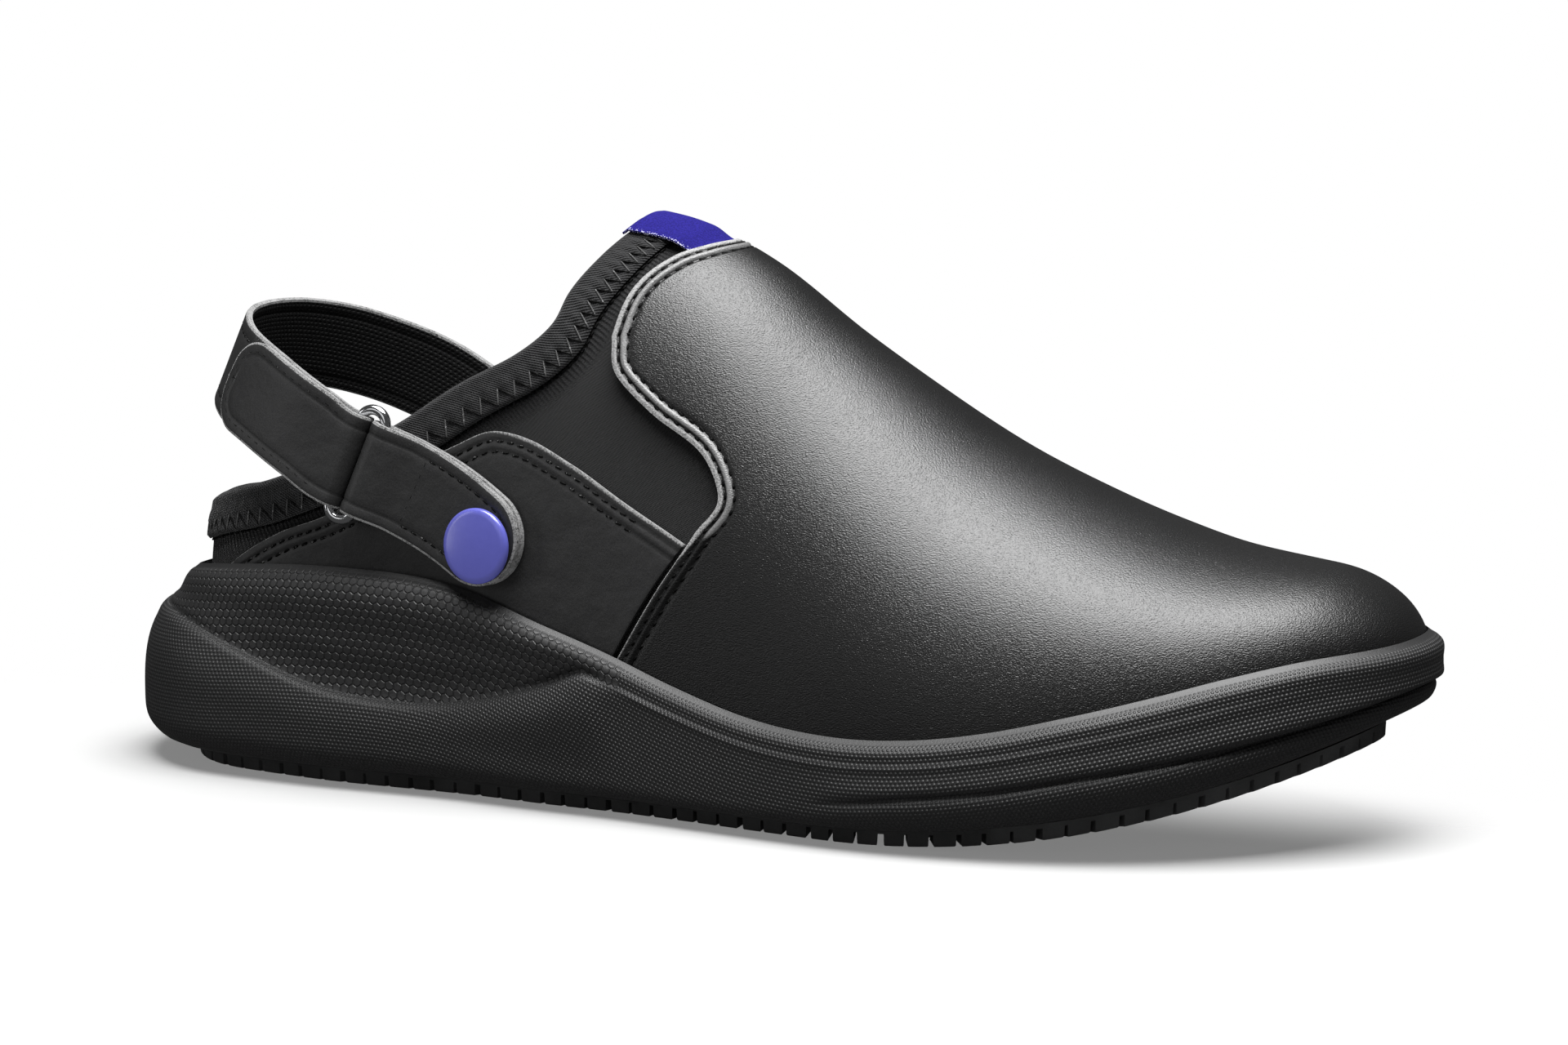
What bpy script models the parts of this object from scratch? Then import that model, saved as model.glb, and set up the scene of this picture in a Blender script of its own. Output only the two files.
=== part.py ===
"""Chef clog for the right foot: moulded sole, stretch lining shell, leather vamp and quarter, heel strap.

Metres, +Z up, +X to the toe, +Y to the inner side. The origin is on the floor, under the middle of the sole.
"""
import math
from collections import namedtuple

import bmesh
import bpy
import numpy as np
from mathutils import Matrix

# The last: the foot form that the upper is drawn over
LAST_LENGTH = 0.2817
LAST_WIDTH = 0.0955
INSTEP = 0.104
RIDGE_SHIFT = 0.005

# Sole heights over the floor, and how far it flares out past the last
HEEL_SEAT = 0.033
BALL_SEAT = 0.014
TOE_SPRING = 0.023
SPRING_START = 0.60
RIM_HEIGHT = 0.0165
HEEL_FLARE = 0.017
TOE_FLARE = 0.0053
RIM_LIP = 0.0028
RIM_ROUND = 0.0018
CREASE_DEPTH = 0.0020
GROOVE_HEIGHT = 0.0343
GROOVE_DEPTH = 0.0008
GROOVE_WIDTH = 0.0024
CREASE_HALF_WIDTH = 0.0012
BAND_INSET = 0.0015
SHOULDER_SHARE = 0.62

# Tread plate and its lugs
TREAD_INSET = 0.0085
PLATE = 0.0014
LUG_HEIGHT = 0.0024
LUG_COUNT = 54
LUG_REACH = 0.0065
LUG_LAND = 0.0030
BAR_SHARE = 0.43

# Walls and clearances
CLEARANCE = 0.0003
OVERLAY_GAP = 0.0006
UPPER_WALL = 0.0020
VAMP_WALL = 0.0018
QUARTER_WALL = 0.0013
BINDING_WIDTH = 0.0085
BINDING_WALL = 0.0008
BINDING_ROLL = 0.0017
INSOLE_THICKNESS = 0.0040
SEAM_GAP = 0.0007

# Heel strap, ring, buttons and label
STRAP_WIDTH = 0.0215
STRAP_WALL = 0.0017
STRAP_REACH = 0.0385
STRAP_HEIGHT = 0.0950
STRAP_LEAN = math.radians(22.0)
LAYER_GAP = 0.0003
LOOP_EASE = 0.010
TAB_LENGTH = 0.042
TAB_ROUND = 0.0090
WIRE = 0.0023
RING_HALF_WIDTH = 0.0040
RING_OVERHANG = 0.0021
RING_CORNER = 0.0026
RING_OFFSET = 0.0056
BUTTON_RADIUS = 0.0083
BUTTON_RIM = 0.0012
BUTTON_DOME = 0.0016
LABEL_WIDTH = 0.021
LABEL_WALL = 0.0006
LABEL_INSET = 0.0012

# How finely the faceted forms are cut
COLUMNS = 56
CURVE_POINTS = 600
UPPER_ROWS = 13
VAMP_COLUMNS = 32
QUARTER_ROWS = 4
QUARTER_COLUMNS = 40

# One row for each section of the last and the sole, from heel to toe
# width: half width over half an ellipse of LAST_WIDTH; centre: share of LAST_WIDTH to the inner side
# seat: share of HEEL_SEAT over BALL_SEAT; height: share of INSTEP; shoulder: extra fullness of the top
# rim: share of RIM_HEIGHT over the seat; flare: share of HEEL_FLARE over TOE_FLARE
# crease: share of HEEL_SEAT over the floor; groove: share of GROOVE_HEIGHT over the floor
# tread: share of TREAD_INSET
Section = namedtuple("Section", "station width centre seat height shoulder rim flare crease groove tread")
SECTIONS = [
    Section(0.00, 1.450, -0.0068, 1.00, 1.300, 0.30, 0.640, 1.000, 1.06, 0.46, 1.50),
    Section(0.03, 1.330, -0.0068, 1.00, 1.240, 0.30, 0.780, 0.745, 1.03, 0.44, 1.40),
    Section(0.08, 1.120, -0.0068, 1.00, 1.150, 0.30, 0.900, 0.490, 0.88, 0.41, 1.25),
    Section(0.17, 0.920, -0.0068, 1.00, 1.090, 0.30, 0.990, 0.305, 0.65, 0.37, 1.05),
    Section(0.28, 0.770, -0.0168, 0.94, 1.050, 0.28, 0.920, 0.230, 0.63, 0.34, 1.00),
    Section(0.36, 0.742, -0.0348, 0.70, 0.995, 0.24, 0.800, 0.190, 0.80, 0.30, 1.00),
    Section(0.42, 0.743, -0.0418, 0.50, 0.975, 0.18, 0.730, 0.145, 0.97, 0.28, 1.00),
    Section(0.48, 0.790, -0.0418, 0.30, 0.926, 0.12, 0.636, 0.110, 0.80, 0.26, 1.00),
    Section(0.55, 0.874, -0.0368, 0.12, 0.826, 0.07, 0.550, 0.085, 0.65, 0.25, 1.00),
    Section(0.62, 0.985, -0.0218, 0.02, 0.733, 0.07, 0.550, 0.075, 0.58, 0.29, 1.00),
    Section(0.68, 1.070, -0.0038, 0.00, 0.651, 0.11, 0.576, 0.075, 0.60, 0.36, 1.00),
    Section(0.74, 1.130, 0.0112, 0.00, 0.584, 0.17, 0.630, 0.070, 0.66, 0.43, 1.00),
    Section(0.80, 1.175, 0.0262, 0.00, 0.526, 0.24, 0.700, 0.060, 0.75, 0.53, 1.00),
    Section(0.86, 1.210, 0.0482, 0.00, 0.480, 0.30, 0.720, 0.050, 0.87, 0.63, 1.05),
    Section(0.91, 1.235, 0.0682, 0.00, 0.472, 0.34, 0.700, 0.040, 0.99, 0.73, 1.12),
    Section(0.95, 1.260, 0.0872, 0.00, 0.482, 0.36, 0.620, 0.020, 1.08, 0.83, 1.25),
    Section(1.00, 1.300, 0.1082, 0.00, 0.460, 0.36, 0.380, 0.000, 1.18, 0.98, 1.40),
]

# Edges on the last: station from heel to toe, rise from the seat (0) to the ridge (1)
Edge = namedtuple("Edge", "station rise")
COLLAR = [
    Edge(0.0097, 1.0), Edge(0.020, 0.70), Edge(0.050, 0.528), Edge(0.108, 0.462), Edge(0.167, 0.473),
    Edge(0.225, 0.521), Edge(0.267, 0.584), Edge(0.316, 0.668), Edge(0.347, 0.760), Edge(0.356, 0.834),
    Edge(0.373, 0.922), Edge(0.387, 0.980), Edge(0.392, 1.0),
]
VAMP_SIDE = [
    Edge(0.405, 0.0), Edge(0.429, 0.126), Edge(0.457, 0.278), Edge(0.489, 0.450), Edge(0.505, 0.564),
    Edge(0.488, 0.621), Edge(0.442, 0.649), Edge(0.409, 0.694), Edge(0.399, 0.768),
]
VAMP_THROAT = [
    Edge(0.399, 0.768), Edge(0.404, 0.851), Edge(0.428, 0.950), Edge(0.443, 0.983), Edge(0.452, 1.0),
]
QUARTER_TOP = [
    Edge(0.4835, 0.420), Edge(0.422, 0.450), Edge(0.377, 0.492), Edge(0.340, 0.517), Edge(0.310, 0.512),
    Edge(0.274, 0.465), Edge(0.215, 0.388), Edge(0.157, 0.324), Edge(0.116, 0.304), Edge(0.072, 0.253),
    Edge(0.055, 0.215), Edge(0.030, 0.190), Edge(0.008, 0.310), Edge(0.0009, 1.0),
]
# The strap's middle line on the quarter: from its round end, under the button, to the ring
ANCHOR = [
    Edge(0.336, 0.238), Edge(0.309, 0.274), Edge(0.255, 0.3465), Edge(0.2145, 0.408), Edge(0.1946, 0.438),
]
BUTTON_PLACE = Edge(0.3095, 0.265)

# The strap's middle line round the heel
# forward: share of LAST_LENGTH from the last's back; sideways: share of STRAP_REACH
# height: share of STRAP_HEIGHT; lean: share of STRAP_LEAN, the top edge towards the foot
StrapRow = namedtuple("StrapRow", "forward sideways height lean")
STRAP = [
    StrapRow(0.168, 0.990, 0.805, 0.45),
    StrapRow(0.136, 0.970, 0.857, 0.55),
    StrapRow(0.107, 0.900, 0.900, 0.70),
    StrapRow(0.062, 0.700, 0.955, 0.90),
    StrapRow(0.034, 0.390, 0.985, 1.00),
    StrapRow(0.024, 0.000, 0.993, 1.00),
]

LENGTH = HEEL_FLARE + LAST_LENGTH + TOE_FLARE
LAST_BACK = -LENGTH / 2 + HEEL_FLARE
RIM_INNER = OVERLAY_GAP + VAMP_WALL + CLEARANCE
RIM_OUTER = RIM_INNER + RIM_LIP
TREAD_TOP = PLATE + LUG_HEIGHT
TINY = 1e-9


def smooth_table(xs, ys, x):
    """A smooth curve through the points of a table."""
    xs = np.asarray(xs, float)
    ys = np.asarray(ys, float)
    x = np.clip(np.asarray(x, float), xs[0], xs[-1])
    gaps = np.diff(xs)
    rises = np.diff(ys) / gaps
    slopes = np.empty(len(xs))
    slopes[1:-1] = (rises[1:] * gaps[:-1] + rises[:-1] * gaps[1:]) / (gaps[1:] + gaps[:-1])
    slopes[0] = rises[0]
    slopes[-1] = rises[-1]
    i = np.clip(np.searchsorted(xs, x) - 1, 0, len(xs) - 2)
    t = (x - xs[i]) / gaps[i]
    start = ys[i] * (1 + 2 * t) * (1 - t) ** 2 + slopes[i] * gaps[i] * t * (1 - t) ** 2
    end = ys[i + 1] * t * t * (3 - 2 * t) + slopes[i + 1] * gaps[i] * t * t * (t - 1)
    return start + end


def section(column, station):
    """One column of the section table at a station."""
    return smooth_table([row.station for row in SECTIONS], [getattr(row, column) for row in SECTIONS], station)


def station_at(x):
    return np.clip((x - LAST_BACK) / LAST_LENGTH, 0.0, 1.0)


def ease(low, high, value):
    """0 below low, 1 above high, smooth between."""
    t = np.clip((value - low) / (high - low), 0.0, 1.0)
    return t * t * (3 - 2 * t)


def spring(station):
    """How far the toe lifts off the floor."""
    return TOE_SPRING * np.clip((station - SPRING_START) / (1 - SPRING_START), 0.0, 1.0) ** 2.2


def seat_height(station):
    return BALL_SEAT + (HEEL_SEAT - BALL_SEAT) * section("seat", station) + spring(station)


def rim_height(station):
    return seat_height(station) + RIM_HEIGHT * section("rim", station)


def unit(vectors):
    vectors = np.asarray(vectors, float)
    return vectors / np.maximum(np.linalg.norm(vectors, axis=-1, keepdims=True), TINY)


def on_last(dome):
    """Carry points of a unit half sphere (toe at +X, ridge at +Z) to the last's surface."""
    dome = unit(dome)
    along, across, up = dome[..., 0], dome[..., 1], dome[..., 2]
    station = (1 + along) / 2
    round_off = np.sqrt(across ** 2 + up ** 2) + TINY
    rise = up / round_off
    x = LAST_BACK + station * LAST_LENGTH
    middle = LAST_WIDTH * section("centre", station) + RIDGE_SHIFT * round_off * rise ** 2
    fullness = section("width", station) * (1 + section("shoulder", station) * rise ** 2)
    y = middle + LAST_WIDTH / 2 * fullness * across
    z = seat_height(station) + INSTEP * section("height", station) * up
    return np.stack([x, y, z], -1)


def last_normal(dome):
    """Outward normal of the last, from small steps on the half sphere."""
    dome = unit(dome)
    step = 1e-3
    helper = np.where(np.abs(dome[..., 1:2]) < 0.8, [0.0, 1.0, 0.0], [1.0, 0.0, 0.0])
    first = unit(np.cross(helper, dome))
    second = np.cross(dome, first)
    u = on_last(dome + step * first) - on_last(dome - step * first)
    v = on_last(dome + step * second) - on_last(dome - step * second)
    return unit(np.cross(u, v))


def off_last(dome, offset):
    return on_last(dome) + offset * last_normal(dome)


def dome_point(edge, side):
    """Half-sphere point of a station and rise; side is -1 for the outer side and +1 for the inner."""
    round_off = 2 * math.sqrt(edge.station * (1 - edge.station))
    across = side * round_off * math.sqrt(max(1 - edge.rise ** 2, 0.0))
    return np.array([2 * edge.station - 1, across, round_off * edge.rise])


def run_lengths(points):
    """Distance along a line of points, from its start to each."""
    steps = np.linalg.norm(np.diff(points[:, :3], axis=0), axis=1)
    return np.concatenate([[0.0], np.cumsum(steps)])


def along_curve(points, shares):
    """Points at shares of length along a smooth curve through the given points; further columns follow."""
    points = np.asarray(points, float)
    columns = range(points.shape[1])
    knots = run_lengths(points)
    dense = np.linspace(0.0, knots[-1], CURVE_POINTS)
    curve = np.stack([smooth_table(knots, points[:, k], dense) for k in columns], -1)
    lengths = run_lengths(curve)
    wanted = np.asarray(shares, float) * lengths[-1]
    return np.stack([np.interp(wanted, lengths, curve[:, k]) for k in columns], -1)


def blend_rows(low, high, shares):
    """Rows of half-sphere points between two edges."""
    rows = [(1 - share) * low + share * high for share in shares]
    return unit(np.array(rows))


def collar_loop(count):
    """The collar's edge, from the back round the outer side, the throat and the inner side."""
    outer = [dome_point(edge, -1) for edge in COLLAR]
    inner = [dome_point(edge, 1) for edge in COLLAR[-2::-1]]
    return unit(along_curve(outer + inner, np.arange(count) / count))


def seat_loop(count):
    """The last's lower edge in the same order as the collar's."""
    angle = 2 * math.pi * np.arange(count) / count
    return np.stack([-np.cos(angle), -np.sin(angle), np.zeros(count)], -1)


def beside_last(loop, outward, height):
    """Points at a height beside the last, pushed outward in plan."""
    station = (1 + loop[:, 0]) / 2
    up = np.clip((height - seat_height(station)) / (INSTEP * section("height", station)), 0.0, 0.5)
    flat = np.sqrt(1 - up ** 2)
    dome = np.stack([loop[:, 0] * flat, loop[:, 1] * flat, up], -1)
    points = on_last(dome)
    ahead = np.roll(points, -1, axis=0) - np.roll(points, 1, axis=0)
    normal = unit(np.stack([ahead[:, 1], -ahead[:, 0], np.zeros(len(loop))], -1))
    points = points + normal * np.broadcast_to(outward, len(loop))[:, None]
    points[:, 2] = height
    return points


def material(name, colour, roughness, metallic=0.0):
    found = bpy.data.materials.new(name)
    found.use_nodes = True
    shader = found.node_tree.nodes["Principled BSDF"]
    shader.inputs["Base Color"].default_value = (*colour, 1.0)
    shader.inputs["Roughness"].default_value = roughness
    shader.inputs["Metallic"].default_value = metallic
    return found


def add_object(name, points, faces, finish):
    """One closed mesh object, its faces turned outward."""
    mesh = bpy.data.meshes.new(name)
    mesh.from_pydata([tuple(point) for point in points], [], faces)
    shape = bmesh.new()
    shape.from_mesh(mesh)
    bmesh.ops.triangulate(shape, faces=shape.faces[:])
    bmesh.ops.recalc_face_normals(shape, faces=shape.faces[:])
    if shape.calc_volume(signed=True) < 0:
        bmesh.ops.reverse_faces(shape, faces=shape.faces[:])
    shape.to_mesh(mesh)
    shape.free()
    mesh.materials.append(finish)
    mesh.shade_smooth()
    mesh.set_sharp_from_angle(angle=math.radians(35))
    made = bpy.data.objects.new(name, mesh)
    bpy.context.collection.objects.link(made)
    return made


def quad_rows(rows, columns, closed):
    """Quads of a grid of points, numbered row by row."""
    faces = []
    for row in range(rows - 1):
        for column in range(columns if closed else columns - 1):
            after = (column + 1) % columns
            faces.append((row * columns + column, row * columns + after,
                          (row + 1) * columns + after, (row + 1) * columns + column))
    return faces


def shell_object(name, dome, inner_offset, outer_offset, closed, finish):
    """A wall between two offsets of the last over a grid of half-sphere points."""
    rows, columns = dome.shape[:2]
    outer = off_last(dome, outer_offset).reshape(-1, 3)
    inner = off_last(dome, inner_offset).reshape(-1, 3)
    count = rows * columns
    grid = quad_rows(rows, columns, closed)
    faces = grid + [tuple(count + i for i in reversed(face)) for face in grid]
    numbers = np.arange(count).reshape(rows, columns)
    if closed:
        edges = [numbers[0], numbers[-1]]
    else:
        edges = [np.concatenate([numbers[0], numbers[1:, -1], numbers[-1, -2::-1], numbers[-2:0:-1, 0]])]
    for edge in edges:
        faces += wall_faces([int(number) for number in edge], count)
    return add_object(name, np.vstack([outer, inner]), faces, finish)


def wall_faces(edge, shift):
    """Quads that join a closed edge of the outer grid to the same edge of the inner one."""
    faces = []
    for k, here in enumerate(edge):
        after = edge[(k + 1) % len(edge)]
        faces.append((here, after, after + shift, here + shift))
    return faces


def cap_faces(start, count):
    """Strips across a loop that starts at the heel and runs evenly on both sides."""
    faces = [(start, start + 1, start + count - 1)]
    for k in range(1, count // 2 - 1):
        faces.append((start + k, start + k + 1, start + count - k - 1, start + count - k))
    faces.append((start + count // 2 - 1, start + count // 2, start + count // 2 + 1))
    return faces


def ring_object(name, rows, finish, closed_tube=False):
    """Loops of points joined row to row; the end loops are capped, or joined to each other."""
    columns = len(rows[0])
    points = np.vstack(rows)
    faces = quad_rows(len(rows), columns, True)
    if closed_tube:
        top = (len(rows) - 1) * columns
        for column in range(columns):
            after = (column + 1) % columns
            faces.append((top + column, top + after, after, column))
    else:
        faces += cap_faces(0, columns)
        faces += cap_faces((len(rows) - 1) * columns, columns)
    return add_object(name, points, faces, finish)


def make_upper(finish):
    """The hollow shell, open at the collar and underneath."""
    dome = blend_rows(seat_loop(COLUMNS), collar_loop(COLUMNS), np.linspace(0.0, 1.0, UPPER_ROWS))
    return shell_object("upper", dome, -UPPER_WALL, 0.0, True, finish)


def make_vamp(finish):
    """The leather front: a patch between the seat, the two side seams and the throat."""
    across = np.linspace(0.0, 1.0, VAMP_COLUMNS + 1)
    up = np.linspace(0.0, 1.0, UPPER_ROWS)
    start = math.acos(2 * VAMP_SIDE[0].station - 1)
    angle = start * (2 * across - 1)
    bottom = np.stack([np.cos(angle), np.sin(angle), np.zeros(len(across))], -1)
    throat = [dome_point(edge, -1) for edge in VAMP_THROAT]
    throat += [dome_point(edge, 1) for edge in VAMP_THROAT[-2::-1]]
    top = along_curve(throat, across)
    outer = along_curve([dome_point(edge, -1) for edge in VAMP_SIDE], up)
    inner = outer * [1.0, -1.0, 1.0]
    u = across[None, :, None]
    v = up[:, None, None]
    ruled = (1 - v) * bottom[None] + v * top[None] + (1 - u) * outer[:, None] + u * inner[:, None]
    corners = (1 - v) * ((1 - u) * bottom[0] + u * bottom[-1]) + v * ((1 - u) * top[0] + u * top[-1])
    dome = unit(ruled - corners)
    return shell_object("vamp", dome, OVERLAY_GAP, OVERLAY_GAP + VAMP_WALL, False, finish)


def make_quarter(finish):
    """The U-shaped leather piece from seam to seam round the heel."""
    gap = SEAM_GAP / LAST_LENGTH
    top = [Edge(QUARTER_TOP[0].station - gap, QUARTER_TOP[0].rise)] + QUARTER_TOP[1:]
    outer = [dome_point(edge, -1) for edge in top]
    inner = [dome_point(edge, 1) for edge in top[-2::-1]]
    shares = np.linspace(0.0, 1.0, QUARTER_COLUMNS + 1)
    start = math.acos(2 * (VAMP_SIDE[0].station - gap) - 1)
    angle = start + (2 * math.pi - 2 * start) * shares
    bottom = np.stack([np.cos(angle), -np.sin(angle), np.zeros(len(shares))], -1)
    dome = blend_rows(bottom, along_curve(outer + inner, shares), np.linspace(0.0, 1.0, QUARTER_ROWS + 1))
    return shell_object("quarter", dome, OVERLAY_GAP, OVERLAY_GAP + QUARTER_WALL, False, finish)


def make_binding(finish):
    """The band over the collar's edge: a short skirt outside and a roll over the top."""
    seat = seat_loop(COLUMNS)
    collar = collar_loop(COLUMNS)
    length = np.linalg.norm(on_last(collar) - on_last(unit(0.97 * collar + 0.03 * seat)), axis=1) / 0.03

    def beyond(distance):
        share = (distance / length)[:, None]
        return unit((1 + share) * collar - share * seat)

    skirt = beyond(-BINDING_WIDTH)
    outside = OVERLAY_GAP + BINDING_WALL
    rows = [
        off_last(skirt, OVERLAY_GAP),
        off_last(skirt, outside),
        off_last(beyond(0.3 * BINDING_ROLL), outside),
        off_last(beyond(BINDING_ROLL), -0.2 * UPPER_WALL),
        off_last(beyond(CLEARANCE), -UPPER_WALL),
        off_last(beyond(CLEARANCE), OVERLAY_GAP),
    ]
    return ring_object("collar_binding", rows, finish, closed_tube=True)


def sole_offsets(station):
    """Bulge and taper of the sole's side, outward from the last's lower edge."""
    bulge = TOE_FLARE + (HEEL_FLARE - TOE_FLARE) * section("flare", station)
    shoulder = RIM_OUTER + (bulge - RIM_OUTER) * SHOULDER_SHARE
    return bulge, shoulder


def make_midsole(finish):
    """The foam sole: rounded foot, forefoot groove, heel crease, rim lip and the bed inside it."""
    loop = seat_loop(COLUMNS)
    station = (1 + loop[:, 0]) / 2
    bulge, shoulder = sole_offsets(station)
    rim = rim_height(station)
    creased = CREASE_DEPTH * (1 - ease(0.37, 0.44, station))
    grooved = ease(SPRING_START, SPRING_START + 0.07, station)
    low = BAND_INSET * grooved
    groove = GROOVE_HEIGHT * section("groove", station)
    crease = HEEL_SEAT * section("crease", station)
    foot = spring(station) + TREAD_TOP + CLEARANCE
    groove_low = groove - 0.6 * GROOVE_WIDTH
    tread = TREAD_INSET * section("tread", station)
    rim_low = rim - RIM_ROUND
    lean = np.clip(crease + CREASE_HALF_WIDTH, groove, rim_low)
    profile = [
        (bulge - tread, foot),
        (bulge - 0.5 * tread - low, foot + 0.16 * (groove_low - foot)),
        (bulge - 0.15 * tread - low, foot + 0.5 * (groove_low - foot)),
        (bulge - low, groove_low),
        (bulge - low - GROOVE_DEPTH * grooved, groove),
        (bulge, groove + 0.5 * GROOVE_WIDTH),
        (shoulder, crease - CREASE_HALF_WIDTH),
        (shoulder - creased, lean),
        (0.5 * (shoulder - creased + RIM_OUTER), 0.5 * (lean + rim_low)),
        (RIM_OUTER, rim_low),
        (RIM_OUTER - 0.3 * RIM_LIP, rim - 0.3 * RIM_ROUND),
        (RIM_OUTER - 0.6 * RIM_LIP, rim),
        (RIM_INNER, rim - 0.8 * RIM_ROUND),
        (RIM_INNER, 0.5 * (rim + seat_height(station))),
        (RIM_INNER, seat_height(station) - CLEARANCE),
    ]
    rows = [beside_last(loop, outward, height) for outward, height in profile]
    return ring_object("midsole", rows, finish)


def make_insole(finish):
    """The foam footbed on the sole's platform, inside the shell."""
    loop = seat_loop(COLUMNS)
    station = (1 + loop[:, 0]) / 2
    inside = -(UPPER_WALL + 2 * CLEARANCE)
    low = seat_height(station)
    rows = [
        beside_last(loop, inside, low),
        beside_last(loop, inside, low + 0.7 * INSOLE_THICKNESS),
        beside_last(loop, inside - 0.3 * INSOLE_THICKNESS, low + INSOLE_THICKNESS),
    ]
    return ring_object("insole", rows, finish)


def tread_loop(count, inward):
    """The tread's outline, a distance inward, cut at equal steps round each side."""
    fine = seat_loop(CURVE_POINTS)
    station = (1 + fine[:, 0]) / 2
    bulge, _ = sole_offsets(station)
    tread = TREAD_INSET * section("tread", station)
    outline = beside_last(fine, bulge - tread - inward, seat_height(station))
    half = len(fine) // 2
    sides = []
    for side in (outline[:half + 1], np.vstack([outline[half:], outline[:1]])):
        lengths = run_lengths(side)
        wanted = np.linspace(0.0, lengths[-1], count // 2 + 1)[:-1]
        sides.append(np.stack([np.interp(wanted, lengths, side[:, k]) for k in range(3)], -1))
    return np.vstack(sides)


def make_outsole(finish):
    """The tread plate with edge lugs all round and pairs of bars across."""
    count = 2 * LUG_COUNT
    edge = tread_loop(count, 0.0)
    inner = tread_loop(count, LUG_REACH)
    land = tread_loop(count, LUG_REACH + LUG_LAND)
    points = []
    faces = []

    def put(point, over_floor):
        x, y = point[0], point[1]
        points.append((x, y, spring(station_at(x)) + over_floor))
        return len(points) - 1

    top = [put(point, TREAD_TOP) for point in edge]
    base = [[put(point, LUG_HEIGHT) for point in loop] for loop in (edge, inner, land)]
    faces += cap_faces(0, count)

    def lug(corners, spots):
        low = [put(spot, 0.0) for spot in spots]
        faces.append(tuple(low))
        for k in range(4):
            faces.append((corners[k], corners[(k + 1) % 4], low[(k + 1) % 4], low[k]))

    for k in range(count):
        after = (k + 1) % count
        faces.append((top[k], top[after], base[0][after], base[0][k]))
        faces.append((base[1][k], base[1][after], base[2][after], base[2][k]))
        corners = (base[0][k], base[0][after], base[1][after], base[1][k])
        if k % 2 == 0:
            lug(corners, (edge[k], edge[after], inner[after], inner[k]))
        else:
            faces.append(corners)

    half = count // 2
    shares = (BAR_SHARE, 1 - BAR_SHARE)
    across = {}
    for k in range(1, half):
        outer, opposite = land[k], land[count - k]
        spots = [outer * (1 - share) + opposite * share for share in shares]
        across[k] = (spots, [put(spot, LUG_HEIGHT) for spot in spots])
    for end, start in ((1, 0), (half - 1, half)):
        left, right = across[end][1]
        faces.append((base[2][start], base[2][end], left))
        faces.append((base[2][start], left, right))
        faces.append((base[2][start], right, base[2][count - end]))
    for k in range(1, half - 1):
        near_spots, near = across[k]
        far_spots, far = across[k + 1]
        sides = (
            ((base[2][k], near[0], far[0], base[2][k + 1]), (land[k], near_spots[0], far_spots[0], land[k + 1])),
            ((near[1], base[2][count - k], base[2][count - k - 1], far[1]),
             (near_spots[1], land[count - k], land[count - k - 1], far_spots[1])),
        )
        for corners, spots in sides:
            if k % 2 == 1:
                lug(corners, spots)
            else:
                faces.append(corners)
        faces.append((near[0], near[1], far[1], far[0]))
    return add_object("outsole", points, faces, finish)


def anchor_route(side):
    """The strap's middle line on the quarter, from its round end to the ring, with its lean."""
    share = np.linspace(0.0, 1.0, 12)
    dome = unit(along_curve([dome_point(edge, side) for edge in ANCHOR], share))
    lift = layers_lift() + (RING_OFFSET - layers_lift()) * ease(0.45, 1.0, share)
    normal = last_normal(dome)
    return np.column_stack([on_last(dome) + lift[:, None] * normal, np.arcsin(normal[:, 2])])


def heel_route(side):
    """The strap's middle line from the ring's place back to the heel's middle, with its lean."""
    rows = []
    for row in STRAP:
        rows.append([LAST_BACK + row.forward * LAST_LENGTH, side * row.sideways * STRAP_REACH,
                     row.height * STRAP_HEIGHT, row.lean * STRAP_LEAN])
    return np.array(rows)


def full_strap_line():
    """The whole middle line: outer button, ring, heel, inner button."""
    line = np.vstack([anchor_route(-1), heel_route(-1), heel_route(1)[-2::-1], anchor_route(1)[::-1]])
    return along_curve(line, np.linspace(0.0, 1.0, CURVE_POINTS))


def strap_frames(line, lean):
    """Outward normal and width direction along a strap's middle line."""
    tangent = unit(np.gradient(line, axis=0))
    plan = np.cross(tangent, [0.0, 0.0, 1.0])
    middle = np.array([LAST_BACK + 0.25 * LAST_LENGTH, 0.0, 0.0])
    away = np.sign(np.sum(plan * (line - middle), axis=1, keepdims=True))
    plan = unit(plan * away)
    tilted = plan * np.cos(lean)[:, None] + np.array([0.0, 0.0, 1.0]) * np.sin(lean)[:, None]
    normal = unit(tilted - tangent * np.sum(tilted * tangent, axis=1, keepdims=True))
    return normal, unit(np.cross(normal, tangent))


def layers_lift():
    """Offset from the last of the middle between the strap's two layers, where they lie on the quarter."""
    return OVERLAY_GAP + QUARTER_WALL + CLEARANCE + STRAP_WALL + LAYER_GAP / 2


def ribbon_object(name, centres, normals, widths, half_widths, finish):
    """A flat band: a box section carried along its middle line."""
    out = normals * STRAP_WALL / 2
    side = widths * half_widths[:, None]
    corners = [centres + out + side, centres + out - side, centres - out - side, centres - out + side]
    points = np.stack(corners, 1).reshape(-1, 3)
    faces = quad_rows(len(centres), 4, True)
    final = 4 * (len(centres) - 1)
    faces += [(0, 1, 2, 3), (final + 3, final + 2, final + 1, final)]
    return add_object(name, points, faces, finish)


def rounded_half_width(distance, radius):
    """Half the strap's width at a distance from its rounded end."""
    reach = np.clip(distance, 0.0, radius)
    return STRAP_WIDTH / 2 - radius + np.sqrt(np.maximum(radius ** 2 - (radius - reach) ** 2, 0.0))


def end_steps(radius):
    """Distances from a rounded end that cut its round evenly."""
    angles = np.radians([18.0, 45.0, 68.0, 90.0])
    return radius * (1 - np.cos(angles))


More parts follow.
